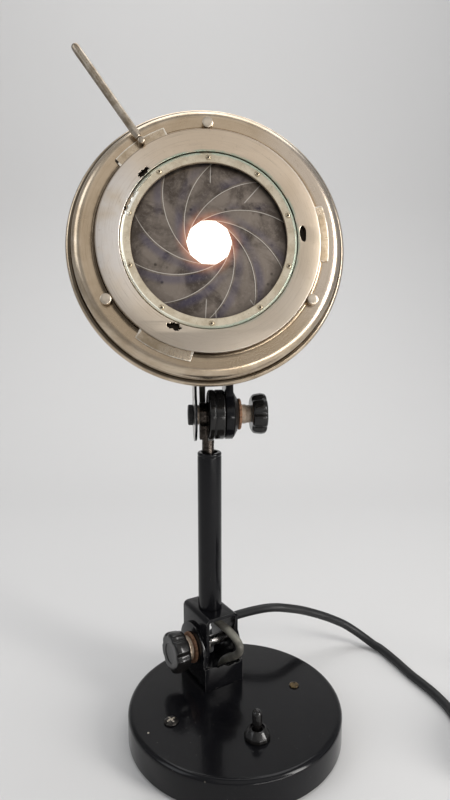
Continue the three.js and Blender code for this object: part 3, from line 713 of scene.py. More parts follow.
def crossed_steel(name):
    """Blackened screw head, bright in its cross."""
    f = Finish(name, metallic=0.9, roughness=0.36)
    cloud = f.patches(0.4, 0.66, 0.5, 5, 0.7)
    f.tones(cloud, (0.05, 0.046, 0.042), (0.018, 0.016, 0.015))
    arms = []
    for angle in (CROSS_ANGLE, CROSS_ANGLE + 90):
        off_arm = f.math("ABSOLUTE", f.vector("DOT_PRODUCT", f.place, (*polar(1.0, angle), 0.0)))
        arms.append(f.between(off_arm, 0.8, 0.5))
    f.stain((0.62, 0.58, 0.52), f.math("MAXIMUM", *arms), f.between(f.radius(), 3.6, 3.0), 0.9)
    f.roughness(f.blend(cloud, 0.26, 0.5))
    f.bump(f.noise(1.4, 4, 0.6), 0.04)
    return f.material


def rust(name):
    f = Finish(name, metallic=0.25, roughness=0.85)
    cloud = f.noise(0.5, 6, 0.75)
    f.tones(f.between(cloud, 0.36, 0.6), (0.10, 0.05, 0.03), (0.30, 0.16, 0.09))
    f.stain((0.40, 0.27, 0.17), f.patches(0.6, 0.72, 1.4, 4, 0.7))
    f.bump(cloud, 0.5)
    return f.material


def lead_insulation(name):
    """Old grey-beige plastic, grimy in clouds."""
    f = Finish(name, roughness=0.5, Specular_IOR_Level=0.4)
    grime = f.patches(0.34, 0.66, 0.09, 4, 0.6)
    f.tones(grime, (0.155, 0.15, 0.125), (0.06, 0.056, 0.048))
    f.stain((0.05, 0.045, 0.035), f.patches(0.55, 0.75, 0.8, 4, 0.7))
    f.roughness(f.blend(grime, 0.38, 0.62))
    f.bump(f.noise(0.9, 4, 0.65), 0.08)
    return f.material


def cord_rubber(name):
    f = Finish(name, roughness=0.5, Specular_IOR_Level=0.34)
    cloud = f.noise(0.06, 4, 0.6)
    f.tones(cloud, (0.007, 0.007, 0.0075), (0.017, 0.017, 0.018))
    dust = f.between(f.cells(0.4), 0.07, 0.03)
    f.roughness(f.math("ADD", f.blend(cloud, 0.36, 0.55), f.times(dust, 0.2)))
    f.bump(f.noise(0.7, 4, 0.65), 0.04)
    return f.material


def felt(name):
    f = Finish(name, roughness=0.95, Sheen_Weight=0.4)
    fuzz = f.noise(1.8, 5, 0.8)
    f.tones(fuzz, (0.012, 0.012, 0.012), (0.05, 0.048, 0.045))
    f.bump(fuzz, 0.3)
    return f.material


def cast_iron(name):
    f = Finish(name, metallic=0.6, roughness=0.7)
    grain = f.noise(0.8, 5, 0.75)
    f.tones(grain, (0.04, 0.04, 0.042), (0.12, 0.115, 0.11))
    f.bump(grain, 0.3)
    return f.material


OPAL_TONE = (0.9, 0.88, 0.84)


def lit_glass(name, color, strength):
    f = Finish(name, roughness=0.35, Emission_Strength=strength, Specular_IOR_Level=0.5)
    haze = f.noise(0.05, 3)
    f.tones(haze, OPAL_TONE, tuple(0.92 * t for t in OPAL_TONE))
    f.glow(f.mix(haze, color, tuple(0.94 * c for c in color)))
    f.bump(f.noise(0.4, 3), 0.02)
    return f.material


def ceramic(name):
    f = Finish(name, roughness=0.25, Specular_IOR_Level=0.5)
    f.tones(f.noise(0.1, 4), (0.74, 0.71, 0.64), (0.62, 0.58, 0.5))
    f.roughness(f.blend(f.noise(0.4, 4), 0.16, 0.4))
    f.bump(f.noise(0.9, 3), 0.03)
    return f.material


BLADE_EDGE_CENTRE = (37.28, 11.43, 0.0)
BLADE_EDGE_RADIUS = 53.4
# Bright lines where the neighbours' ends show: direction, and the radii each runs between.
BLADE_ENDS = ((88.0, 39.0, 51.5), (48.0, 35.0, 51.5), (-55.5, 46.0, 51.5), (-94.0, 37.5, 51.5),
              (-86.0, 45.0, 50.0))


def blade_steel(name, seed):
    """Blued spring steel, cloudy and spotted, with a bright inner edge, painted shade towards the ring, and a
    painted orange glow near the aperture that stands in for the light behind.
    """
    f = Finish(name, metallic=0.85, roughness=0.36, Emission_Strength=1.0)
    x, y, _ = f.split(f.place)
    radius = f.radius()
    flat = f.combine(x, y, float(seed) * 37.0)
    cloud = f.noise(0.045, 5, 0.6, at=flat, warp=0.8)
    f.tones(f.between(cloud, 0.36, 0.64), (0.075, 0.06, 0.05), (0.215, 0.18, 0.152))
    f.stain((0.29, 0.25, 0.215), f.patches(0.45, 0.75, 0.4, 4, 0.7, at=flat), 0.4)
    spots = f.between(f.cells(0.13, at=flat), 0.2, 0.05)
    f.stain((0.03, 0.025, 0.02), spots, f.patches(0.42, 0.6, 0.06, 2, at=flat), 0.85)
    from_centre = f.vector("DISTANCE", f.combine(x, y, 0.0), BLADE_EDGE_CENTRE)
    off_edge = f.math("SUBTRACT", from_centre, BLADE_EDGE_RADIUS)
    tint = f.times(f.between(off_edge, 0.8, 2.0), f.between(off_edge, 8.5, 4.0))
    f.stain((0.06, 0.058, 0.12), tint, f.patches(0.38, 0.62, 0.03, 2, at=flat), 0.42)
    rim = f.between(off_edge, 0.6, 0.25)
    f.stain((0.72, 0.67, 0.60), rim, f.blend(f.noise(0.05, 2, at=flat), 0.45, 1.0))
    strokes = f.noise(1.0, 3, 0.6, at=f.vector("MULTIPLY", flat, (1.6, 0.12, 1.0)))
    polish = f.times(f.between(strokes, 0.6, 0.7), -0.08)
    f.roughness(f.math("ADD", f.blend(cloud, 0.26, 0.46), polish))
    f.bump(strokes, 0.01)
    f.bump(f.noise(0.06, 3, at=flat), 0.12)
    for degrees, low, high in BLADE_ENDS:
        apart = f.times(f.off_angle(degrees - BLADE_STEP * seed), math.radians(1) * (low + high) / 2)
        f.stain((0.75, 0.70, 0.64), f.between(apart, 0.42, 0.15), f.between(radius, low, low + 1.5), 0.55)
    # Painted shade: the blade darkens towards the ring.
    f.stain((0.045, 0.035, 0.028), f.between(radius, 42.0, 52.0), 0.45)
    # Painted light: an orange glow near the aperture, standing in for the light behind the blades.
    warm = f.math("POWER", f.times(f.between(radius, 26.0, 14.0), f.between(off_edge, 11.0, 0.0)), 1.7)
    f.glow(f.mix(warm, (0.0, 0.0, 0.0), (0.30, 0.10, 0.045)))
    return f.material


# ---------------------------------------------------------------- camera and light

CAMERA_AT = Vector((-7.43, -414.73, 317.8)) * MM
CAMERA_PITCH = 8.776
LENS = 27.0
SENSOR = 36
CLIP_START = 0.01
ROOM_COLOR = (0.80, 0.81, 0.83, 1)
ROOM_STRENGTH = 0.45
SOFTBOXES = (
    # name, place, aim and size in metres, watts, colour, spread in degrees
    ("window", (-1.4, -0.7, 1.2), (0, 0, 0.25), (0.9, 1.2), 1.6, (0.93, 0.96, 1.0), 90),
    ("front", (0.3, -1.3, 1.45), (0, 0, 0.35), (1.8, 1.5), 3.7, (1.0, 0.97, 0.93), 180),
    ("room", (1.25, -0.75, 0.65), (0, 0, 0.25), (0.4, 1.1), 5.2, (1.0, 0.98, 0.95), 90),
    ("low_fill", (0.75, -1.15, 0.09), (0, 0, 0.3), (0.9, 0.14), 0.95, (1.0, 0.98, 0.95), 90),
    ("ceiling", (0.1, 0.5, 1.7), (0, 0, 0.2), (1.6, 1.0), 11, (1.0, 1.0, 1.0), 180),
)
SWEEP_HALF_WIDTH = 12000.0
SWEEP_SECTION = [(-6000.0, 0.0), *arc((550, 600), 600, -90, 0, 24), (1150.0, 5000.0)]
SWEEP_FADE = (2200.0, 5000.0)


def make_camera():
    data = bpy.data.cameras.new("camera")
    data.lens = LENS
    data.sensor_width = SENSOR
    data.clip_start = CLIP_START
    camera = add_object("camera", data)
    camera.location = CAMERA_AT
    camera.rotation_euler = (math.pi / 2 - math.radians(CAMERA_PITCH), 0, 0)
    bpy.context.scene.camera = camera


def softbox(name, location, target, size, power, color, spread):
    data = bpy.data.lights.new(name, "AREA")
    data.shape = "RECTANGLE"
    data.size, data.size_y = size
    data.energy = power
    data.color = color
    data.spread = math.radians(spread)
    lamp = add_object(name, data)
    lamp.location = location
    lamp.rotation_euler = (Vector(target) - Vector(location)).to_track_quat("-Z", "Y").to_euler()


def make_stage():
    """Soft light, and one pale sheet that is floor, cove and wall."""
    world = bpy.data.worlds.new("studio")
    world.use_nodes = True
    world.node_tree.nodes["Background"].inputs["Color"].default_value = ROOM_COLOR
    world.node_tree.nodes["Background"].inputs["Strength"].default_value = ROOM_STRENGTH
    bpy.context.scene.world = world
    bpy.context.scene.view_settings.view_transform = "Standard"
    for box in SOFTBOXES:
        softbox(*box)
    ends = [(x, y, z) for x in (-SWEEP_HALF_WIDTH, SWEEP_HALF_WIDTH) for y, z in SWEEP_SECTION]
    count = len(SWEEP_SECTION)
    faces = [(i, i + 1, count + i + 1, count + i) for i in range(count - 1)]
    sweep = new_object("studio_sweep", ends, faces, WORLD, 60)
    paper = Finish("studio_sweep", roughness=0.8)
    # Painted light: the sheet is painted paler far from the lamp.
    far = paper.between(paper.vector("LENGTH", paper.place), *SWEEP_FADE)
    paper.tones(far, (0.70, 0.695, 0.69), (0.97, 0.97, 0.97))
    sweep.data.materials.append(paper.material)


# ---------------------------------------------------------------- mains cord

CORD_RADIUS = 3.7
CORD_ROUTE = [
    (-12.2, 69, 44), (-7.9, 70.8, 47.8), (-3, 72.6, 50.6), (2.6, 74.2, 52.4), (9, 75.4, 53.7),
    (16, 76.6, 55), (26.8, 78.2, 56.5), (36, 80.4, 56.2), (44.5, 83.4, 54.3), (59.4, 91.5, 48.2),
    (70.5, 97.5, 42.6), (82.8, 102.5, 36.4), (94.2, 108, 29.4), (105.4, 112, 22.3), (116.1, 112.8, 15),
    (126.2, 110, 8.5), (132.2, 106, 5.4), (137.9, 100.8, 4), (146.2, 82.1, CORD_RADIUS),
    (153.4, 62.5, CORD_RADIUS), (164.2, 38.4, CORD_RADIUS), (170, 18, CORD_RADIUS),
    (171, 0, CORD_RADIUS), (171, -14.2, CORD_RADIUS),
]
TAIL_ROUTE = [(257, -26, 18.2), (257, -11.6, 16.4), (257, -5, 15), (257, 2, 14), (257, 8, 13.6)]
COIL_CENTRE = (214, -40)
COIL_OUTER_TURN = 43
COIL_INNER_TURN = 35.5
LAYER_RISE = 7.42
TURN_POINTS = 24
COIL_TURNS = 5.5
CHANGE_FROM = 0.6


def coil_points():
    """Each turn's radius and layer, blended into the next turn's over its last part."""
    turns = [(COIL_OUTER_TURN, 0), (COIL_INNER_TURN, 0), (COIL_INNER_TURN, 1), (COIL_OUTER_TURN, 1),
             (COIL_OUTER_TURN, 2), (COIL_OUTER_TURN, 2)]
    points = []
    for i in range(int(COIL_TURNS * TURN_POINTS) + 1):
        share, turn = math.modf(i / TURN_POINTS)
        turn = int(turn)
        here, following = turns[turn], turns[min(turn + 1, len(turns) - 1)]
        mix = max(0.0, (share - CHANGE_FROM) / (1 - CHANGE_FROM))
        mix = mix * mix * (3 - 2 * mix)
        radius = here[0] + (following[0] - here[0]) * mix
        layer = here[1] + (following[1] - here[1]) * mix
        x, y = polar(radius, 180 + 360 * i / TURN_POINTS)
        points.append((COIL_CENTRE[0] + x, COIL_CENTRE[1] + y, CORD_RADIUS + layer * LAYER_RISE))
    return points


# ---------------------------------------------------------------- head

LEVER_ANGLE = 124.3
LEVER_HEIGHT = 0.8
LEVER_POST_CIRCLE = 77.0
STUD_ANGLES = (90, 210, 330)
STUD_CIRCLE = 78.0
FACE_SEGMENTS = 256
PLATE_OUTSIDE = 74.0
PLATE_BORE = 58.7
WORN_GAPS = (
    # circle, direction, length, width, turn, raggedness, seed
    (60.9, 134, 9.0, 3.4, 44, 0.5, 3),
    (62.3, 4.5, 11.0, 4.2, 94, 0.12, 4),
    (61.6, 247, 9.4, 4.4, 160, 0.55, 5),
)
GAP_POINTS = 28
EATEN_FROM = 146
EATEN_SPAN = 18
DRIVE_RING_OUTSIDE = 73.0
DRIVE_RING_BORE = 56.6
LUG_REACH = 80.5
LUG_HALF_ANGLE = 14
SLOT_ANGLE = 87
VENT_COUNT = 12


def make_casing(metal):
    """Flat band, round shoulder, dark groove and rolled bead; hollow behind for the blades."""
    profile = [
        (73.8, -5.6), (74.0, -5.0), (74.3, -4.8), (75.8, -4.8), (76.2, -5.0), (76.3, -5.3),
        (76.8, -5.35), (77.0, -5.05), (83.4, -5.0), *arc((83.6, -12.0), 7.0, 88, 0, 12),
        (90.4, -12.9), (89.5, -13.3), (89.3, -14.2), (89.6, -15.0),
        *arc((92.3, -17.8), 2.7, 128, -80, 14),
        (92.0, -20.8), (84.6, -20.9), (84.4, -20.5), (84.4, -17.7), (50.4, -17.6), (50.0, -17.3),
        (50.0, -16.6), (50.4, -16.2), (81.6, -16.2), (81.8, -16.0), (81.8, -6.4), (81.4, -6.1),
        (74.2, -6.0),
    ]
    casing = turned("casing_body", profile, FACE, FACE_SEGMENTS, smooth_angle=40)
    install(casing, "head", metal, "nickel", "front_casing")


def worn_gap(circle, direction, length, width, turn, ragged, seed):
    """Outline of a worn hole near the ring, as points round it."""
    chance = random.Random(seed)
    x0, y0 = polar(circle, direction)
    c, s = polar(1.0, turn)
    points = []
    for i in range(GAP_POINTS):
        x, y = polar(1.0, 360 * i / GAP_POINTS)
        grow = 1 + ragged * (chance.random() - 0.5)
        x, y = x * length / 2 * grow, y * width / 2 * grow
        points.append((x0 + x * c - y * s, y0 + x * s + y * c))
    return points


def make_cover_plate(metal):
    last = 360 * (1 - 1 / FACE_SEGMENTS)
    outlines = [arc((0, 0), radius, 0, last, FACE_SEGMENTS - 1) for radius in (PLATE_OUTSIDE, PLATE_BORE)]
    outlines += [worn_gap(*gap) for gap in WORN_GAPS]
    cover = plate("face_plate", outlines, -3.2, 0.0, FACE, bevel=0.35)
    install(cover, "head", metal, "nickel", "cover_plate")


def eaten_edge(radius, angle):
    """The ring's outer edge: eaten away in waves at the left, straight elsewhere."""
    degrees = math.degrees(angle) % 360
    if radius > 56.5 and 0 < degrees - EATEN_FROM < EATEN_SPAN:
        depth = math.sin(math.pi * (degrees - EATEN_FROM) / EATEN_SPAN) ** 0.6
        radius -= depth * (1.3 + 0.6 * math.sin(degrees * 1.35) + 0.3 * math.sin(degrees * 3.1))
    return radius


def make_pivot_ring(metal, dark):
    profile = [(51.5, -2.4), (51.5, -0.9), (51.75, -0.5), (52.3, -0.38), (56.4, -0.38), (56.9, -0.2),
               (57.7, -0.5), (58.2, -1.1), (58.25, -2.5), (58.0, -2.6), (51.7, -2.6)]
    eyelet = [(0.0, -0.9), (0.55, -0.9), (0.7, -0.3), (0.75, 0.0), (1.0, 0.3), (1.35, 0.2), (1.55, -0.15),
              (1.6, -0.6)]
    parts = [turned("blade_pivot_ring", profile, FACE, 720, 30, eaten_edge)]
    for i, (x, y) in enumerate(PIVOT_SPOTS):
        parts.append(turned(f"eyelet_{i}", eyelet, FACE @ moved(x, y), 24, 50))
    install(join("blade_pivot_ring", parts), "head", metal, "nickel", "pivot_ring")
    # Painted shade: a black disc in the hollow of each eyelet.
    for i, (x, y) in enumerate(PIVOT_SPOTS):
        pit = rod(f"eyelet_shade_disc_{i}", 0.62, -0.8, -0.4, FACE @ moved(x, y), 20)
        install(pit, "head", dark, "black_metal")


def make_drive_ring(metal):
    """Ring under the cover plate with three lugs that show beside it."""
    outer = []
    for degrees in range(360):
        at_lug = any(abs((degrees - lug + 180) % 360 - 180) <= LUG_HALF_ANGLE for lug in LUG_ANGLES)
        outer.append(polar(LUG_REACH if at_lug else DRIVE_RING_OUTSIDE, degrees))
    inner = arc((0, 0), DRIVE_RING_BORE, 0, 358, 179)
    corners = rounded([(58, -1.3), (70, -1.3), (70, 1.3), (58, 1.3)], 1.2)
    slots = []
    for i in range(BLADE_COUNT):
        c, s = polar(1.0, SLOT_ANGLE + BLADE_STEP * i)
        slots.append([(x * c - y * s, x * s + y * c) for x, y in corners])
    ring = plate("drive_ring", [outer, inner, *slots], -4.7, -3.55, FACE, bevel=0.18)
    install(ring, "iris_control", metal, "nickel", "actuating_ring")


def make_studs(metal):
    profile = [(0.0, -9.4), (1.8, -9.4), (1.8, -2.6), (3.3, -2.6), (3.7, -2.2), (3.72, -0.2), (3.5, 0.45),
               (2.9, 0.74), (1.5, 0.8), (0.0, 0.8)]
    for i, angle in enumerate(STUD_ANGLES):
        stud = turned(f"face_stud_{i + 1}", profile, FACE @ moved(*polar(STUD_CIRCLE, angle)), 48, 30)
        install(stud, "head", metal, "nickel", f"guide_stud_{i + 1}")


def make_lever(metal):
    along = FACE @ spun(LEVER_ANGLE) @ moved(0, 0, LEVER_HEIGHT) @ ALONG_X
    profile = [(0.0, 79.6), (1.7, 79.6), (2.1, 79.9), (2.25, 80.6), (2.6, 82.4), (2.66, 100.0), (2.8, 146.0),
               (2.72, 149.6), (2.3, 151.2), (1.4, 151.9), (0.0, 152.0)]
    lever = turned("control_lever", profile, along, 48, 50)
    install(lever, "iris_control", metal, "brass", "iris_lever")
    post = [(0.0, -3.5), (2.2, -3.5), (2.25, 2.6), (2.1, 3.2), (1.6, 3.52), (0.0, 3.6)]
    stud = turned("lever_post", post, FACE @ moved(*polar(LEVER_POST_CIRCLE, LEVER_ANGLE)), 40, 40)
    install(stud, "iris_control", metal, "brass", "lever_stud")


# A blade lies between two arcs, walked from its pivot end: the inner edge, and a larger circle's arc
# behind it, whose centre is shifted away.
EDGE_START = 269.8
EDGE_SPAN = 152.0
BACK_SHIFT = 8.0
BACK_RADIUS = 67.0
BACK_LEAD = 9
BLADE_LOW = -7.6
BLADE_RISE = 2.65
RISE_FROM = -30
RISE_SPAN = 260
BLADE_SHEET = 0.15
BLADE_REACH = 66.0
BLADE_CLOSED = 10.0
STEPS_ACROSS = 8
STEPS_ALONG = 96


def blade_side(hub):
    """Points of a blade's upper side, row by row from the pivot end to the free end.

    The climb winds round hub."""
    edge_centre = Vector(BLADE_EDGE_CENTRE)
    back_centre = edge_centre + Vector((*polar(BACK_SHIFT, EDGE_START - EDGE_SPAN / 2), 0))
    points = []
    for i in range(STEPS_ALONG + 1):
        share = i / STEPS_ALONG
        inner = edge_centre + Vector((*polar(BLADE_EDGE_RADIUS, EDGE_START - EDGE_SPAN * share), 0))
        back_angle = EDGE_START + BACK_LEAD - (EDGE_SPAN + 2 * BACK_LEAD) * share
        outer = back_centre + Vector((*polar(BACK_RADIUS, back_angle), 0))
        outer *= min(1.0, BLADE_REACH / outer.length)
        for k in range(STEPS_ACROSS + 1):
            point = inner.lerp(outer, k / STEPS_ACROSS)
            wound = (RISE_FROM - math.degrees(math.atan2(point.y - hub.y, point.x - hub.x))) % 360
            point.z = BLADE_LOW + BLADE_RISE * wound / RISE_SPAN
            points.append(point)
    return points


def make_blades():
    """Ten crescents; each climbs from its pivot end to its free end, so that it lies over its neighbour.

    The hub of the climb meets the middle of the face when the iris is closed."""
    pivot = FACE.inverted() @ Vector(JOINTS["blade_01_turn"]["pos_m"]) / MM
    pivot.z = 0
    upper = blade_side(pivot - spun(BLADE_CLOSED).to_3x3() @ pivot)
    vertices = upper + [point - Vector((0, 0, BLADE_SHEET)) for point in upper]
    row = STEPS_ACROSS + 1
    layer = len(upper)
    last = STEPS_ALONG * row
    faces = []
    for start in range(0, last, row):
        for a in range(start, start + STEPS_ACROSS):
            faces.append((a, a + 1, a + row + 1, a + row))
            faces.append((a + layer, a + layer + row, a + layer + row + 1, a + layer + 1))
    edge = [*range(STEPS_ACROSS), *range(STEPS_ACROSS, last + STEPS_ACROSS, row),
            *range(last + STEPS_ACROSS, last, -1), *range(last, 0, -row)]
    for one, two in zip(edge, edge[1:] + edge[:1]):
        faces.append((one, one + layer, two + layer, two))
    for number in range(BLADE_COUNT):
        name = f"blade_{number + 1:02d}"
        blade = new_object(f"iris_{name}", vertices, faces, FACE @ spun(BLADE_STEP * number), 40)
        face_outwards(blade)
        install(blade, name, blade_steel(f"blade_steel_{number + 1}", number), "blade_steel", name)


def make_housing(paint):
    outside = [(88, -21.3, 0.3), (88, -22.8, 0.6), (83, -22.8, 0.8), (82.2, -55, 12), (78, -72, 8),
               (66, -90, 8), (46, -102, 8), (24, -107, 2), (18.4, -107, 0.3), (18.4, -105.5, 0.3),
               (24, -105.5, 2), (45.4, -100.4, 8), (65, -88.6, 8), (76.6, -71.2, 8), (80.6, -55, 12),
               (81.4, -21.3, 0.3)]
    shell = turned("lamp_housing", rounded(outside, 1.0), FACE, 128, 40)
    cutters = []
    for i in range(VENT_COUNT):
        slot = block("vent", (16, 5, 40), (56, 0, -100), FACE @ spun(15 + 30 * i))
        for x in (48, 64):
            cutters.append(rod("vent_end", 2.5, -120.0, -80.0, slot.matrix_world @ moved(x, 0), 24))
        cutters.append(slot)
    offset = (HEAD.inverted() @ FACE).translation
    hole = Matrix.Translation((-4.4 * MM - offset.x, -83 * MM, -8 * MM - offset.z))
    cutters.append(rod("lead_way", 4.5, -12.0, 12.0, FACE @ hole @ spun(90, "X"), 32))
    cut(shell, cutters)
    install(shell, "head", paint, "black_enamel", "housing_shell")


def make_light_source(opal, glass, china):
    pane = [(0.0, -19.9), (81.6, -19.9), (82.0, -19.6), (82.0, -18.2), (81.6, -17.9), (0.0, -17.9)]
    install(turned("opal_diffuser", pane, FACE, 128), "head", opal, "opal_glass", "diffuser")
    bulb = [(0.0, -99.6), (13.4, -99.6), (13.4, -74.0), (14.4, -68.5), *arc((0, -48), 22.0, -40, 90, 24)]
    install(turned("lamp_bulb", bulb, FACE, 64, 40), "head", glass, "bulb_glass", "bulb")
    holder = [(0, -116, 0), (14, -116, 1.5), (18, -112, 1.5), (18, -92, 0.4), (17.4, -91.4, 0.4),
              (17.4, -90, 0.4), (18, -89.4, 0.4), (18, -74, 0.8), (14.2, -74, 0.8), (14.2, -100, 0.5),
              (0, -100, 0)]
    socket = turned("lamp_socket", rounded(holder, 0.5), FACE, 64, 40)
    install(socket, "head", china, "ceramic", "lampholder")


# ---------------------------------------------------------------- joints and post

KNOB_RADIUS = 15.5
KNOB_FLUTES = 7
KNURLS = 24
EAR_INNER = 11.75
EAR_TOP = 24


def eased(node, name, body, material, bevel=0.4, smooth_angle=32, worn=None):
    """A finer copy of a CAD node that stands for it, with its edges rounded and, with worn, rubbed."""
    source = frame["nodes"][node]
    piece = add_object(name, source.data.copy())
    piece.matrix_world = source.matrix_world.copy()
    piece.data.materials.clear()
    weld(piece)
    ease(piece, bevel, 3, smooth_angle).material = 1 if worn else 0
    piece.data.materials.append(material)
    piece.data.materials.append(worn or material)
    apply_modifiers(piece, smooth_angle)
    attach(piece, body)
    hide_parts(node)
    return piece


def fluted(radius, angle):
    """Seven shallow flutes."""
    flute = 1.7 * max(0.0, -math.cos(KNOB_FLUTES * angle)) ** 1.5
    return radius - flute * min(1.0, (radius / KNOB_RADIUS) ** 4)


def knurled(radius, angle):
    if radius > 7:
        radius -= 0.35 * (0.5 + 0.5 * math.cos(KNURLS * angle)) ** 2
    return radius


def hand_knob(name, length, place):
    profile = [(4.4, 9.0, 0), (4.4, 0, 0.3), (13, 0, 0.8), (15, 1.6, 1.2), (15.9, length - 4, 1.6),
               (15.2, length - 1, 1.0), (13.4, length, 0.8), (8.2, length - 0.2, 0.5),
               (7.4, length - 0.9, 0.5), (0, length - 0.9, 0)]
    return turned(name, [(0.0, 9.0), *rounded(profile, 0.5)], place, 210, 40, fluted)


def hex_prism(name, across_flats, low, high, place, bore=None):
    """Hexagon along local Z with its edges chamfered."""
    radius = across_flats / math.sqrt(3)
    outlines = [rounded([polar(radius, 60 * i) for i in range(6)], 0.4)]
    if bore:
        outlines.append(arc((0, 0), bore, 0, 350, 35))
    return plate(name, outlines, low, high, place, bevel=0.55, smooth_angle=28)


def make_lower_joint(paint, rubbed, grip, bright, yellow, rusty):
    eased("base_bracket", "bracket_on_base", "base", paint, 0.35, worn=rubbed)
    eased("arm_yoke", "yoke_under_post", "arm", paint, 0.35, worn=rubbed)
    for i in (1, 2):
        dress(f"bracket_screw_{i}", bright, 0.25)
    along = LOWER @ ALONG_X
    shaft = rounded([(0, -31, 0), (4, -31, 0.6), (4, 18.4, 0.2), (0, 18.4, 0)], 0.4)
    bolt = turned("tilt_bolt_shaft", shaft, along, 48, 40)
    head = hex_prism("tilt_bolt_head", 13, 17.1, 22.1, along)
    install(join("tilt_bolt_turned", [bolt, head]), "arm", bright, "steel", "tilt_bolt")
    install(hex_prism("tilt_hex_nut", 14, -11.2, -3.2, along, bore=4.2), "arm", bright, "steel", "tilt_nut")
    washer = [(4.3, -19.0), (11.4, -19.0), (12.0, -18.6), (12.0, -17.4), (11.6, -17.1), (4.3, -17.1)]
    install(turned("tilt_rust_washer", washer, along, 64, 30), "arm", rusty, "rust", "tilt_washer")
    spacer = [(4.3, -23.5), (8.6, -23.5), (9.2, -23.1), (9.3, -21.7), (8.8, -21.3), (9.3, -20.9),
              (9.2, -19.6), (8.6, -19.3), (4.3, -19.3)]
    install(turned("tilt_brass_spacer", spacer, along, 64, 30), "arm", yellow, "brass", "tilt_spacer")
    outward = LOWER @ moved(-23.8, 0) @ spun(-90, "Y")
    install(hand_knob("lower_hand_knob", 12.6, outward), "lower_knob", grip, "bakelite", "lower_knob")


def make_post(paint, bare):
    tube = [(7.7, 81.3, 0.2), (9.3, 81.3, 0.2), (9.3, 204.6, 0.3), (9.05, 204.9, 0.2), (9.05, 205.4, 0.2),
            (9.3, 205.8, 0.3), (9.3, 207.2, 0.8), (8.6, 208, 0.7), (6.4, 208, 0.5), (6.2, 206.4, 0.2),
            (7.7, 206.2, 0.2)]
    sleeve = turned("post_sleeve", rounded(tube, 0.3), POST, 96, 30)
    install(sleeve, "arm", paint, "black_enamel", "post_tube")
    eased("post_rod", "post_rod_eased", "arm", bare, 0.35)


def make_upper_joint(paint, grip, bright, yellow, rusty, dark, polished):
    along = HEAD @ ALONG_X
    shaft = rounded([(0, -13, 0), (4, -13, 0.4), (4, 40, 0.4), (0, 40, 0)], 0.4)
    bolt = turned("upper_bolt_shaft", shaft, along, 48, 40)
    tip = hex_prism("upper_bolt_tip", 7, 38, 41, along)
    install(join("upper_bolt_turned", [bolt, tip]), "head", bright, "steel", "upper_bolt")
    nut = [(4.3, -16.3), (6.9, -16.3), (7.85, -15.7), (7.85, -12.7), (7.2, -12.2), (4.3, -12.2)]
    nut = turned("upper_knurled_nut", nut, along, 192, 50, knurled)
    install(nut, "head", dark, "black_metal", "upper_nut")
    drum = [(4.3, -1.5, 0), (16.9, -1.5, 0.6), (19, -0.5, 0.8), (19, 2.9, 0.3), (18.5, 3.3, 0.3),
            (18.5, 3.9, 0.3), (19, 4.3, 0.3), (19, 10.2, 0.8), (17.8, 11.3, 0.6), (4.3, 11.3, 0)]
    cone = [(4.3, 17.5, 0), (17.4, 17.5, 0.3), (17.9, 18.0, 0.4), (12.2, 21.2, 0.5), (4.3, 21.3, 0)]
    boss = [(4.3, 24, 0), (7.1, 24, 0.3), (7.4, 24.4, 0.3), (7.4, 27.4, 0.4), (6.9, 28.4, 0.5),
            (6.6, 31.6, 0.3), (4.3, 31.6, 0)]
    disc = [(4.3, -9.8), (7.2, -9.8), (7.5, -9.5), (7.5, -8.2), (7.2, -7.9), (4.3, -7.9)]
    ring = [(4.3, 21.6), (11.4, 21.6), (12.0, 22.1), (12.0, 23.2), (11.5, 23.7), (4.3, 23.7)]
    for name, profile, segments, material, slot, node in (
        ("upper_brass_disc", disc, 64, yellow, "brass", "upper_brass_washer"),
        ("friction_drum_turned", rounded(drum, 0.4), 96, grip, "bakelite", "friction_drum"),
        ("cone_washer_turned", rounded(cone, 0.3), 96, dark, "black_metal", "cone_washer"),
        ("upper_rust_washer", ring, 64, rusty, "rust", "upper_washer"),
        ("upper_brass_boss", rounded(boss, 0.3), 64, yellow, "brass", "upper_spacer"),
    ):
        install(turned(name, profile, along, segments, 30), "head", material, slot, node)
    outward = HEAD @ moved(31.9, 0) @ spun(90, "Y")
    install(hand_knob("upper_hand_knob", 11.6, outward), "upper_knob", grip, "bakelite", "upper_knob")
    yoke = eased("head_yoke", "yoke_under_head", "head", paint)
    yoke.data.materials.append(polished)
    inward = (HEAD.to_3x3() @ Vector((-1, 0, 0))).normalized()
    for face in yoke.data.polygons:
        centre = HEAD.inverted() @ (yoke.matrix_world @ face.center)
        if centre.x < -EAR_INNER * MM and face.normal.dot(inward) > 0.9 and centre.y < EAR_TOP * MM:
            face.material_index = 2


def make_leads(insulation):
    lower = [(0, 0, 27), (0.4, -1.6, 23), (2.4, -8.5, 19.6), (6.5, -19, 15.5), (10.2, -26, 8.5),
             (10.8, -27.5, 2), (9.2, -23.5, -3.6), (7.6, -16.5, -8.2), (6, -9.5, -15.5), (5.5, -7, -27)]
    piece = swept("lower_flex", smooth_path(lower, 110), 3.1, LOWER, sides=28)
    piece.data.transform(piece.matrix_world)
    piece.matrix_world = WORLD
    cover(piece, insulation, "grey_lead", "lower_lead")
    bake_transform(piece)
    upper = [(-20.4, 42.2, 213), (-21.2, 45.8, 214.4), (-24, 52, 221), (-25.2, 54, 232), (-25.2, 52.5, 243),
             (-25.2, 48.8, 253), (-25.2, 48.3, 260), (-25.2, 49.3, 266.5)]
    piece = swept("upper_flex", smooth_path(upper, 80), 2.4, WORLD, sides=28)
    cover(piece, insulation, "grey_lead", "upper_lead")
    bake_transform(piece)


def cover(piece, material, slot, node):
    piece.data.materials.append(material)
    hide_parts(node)


# ---------------------------------------------------------------- base, switch and cord fittings

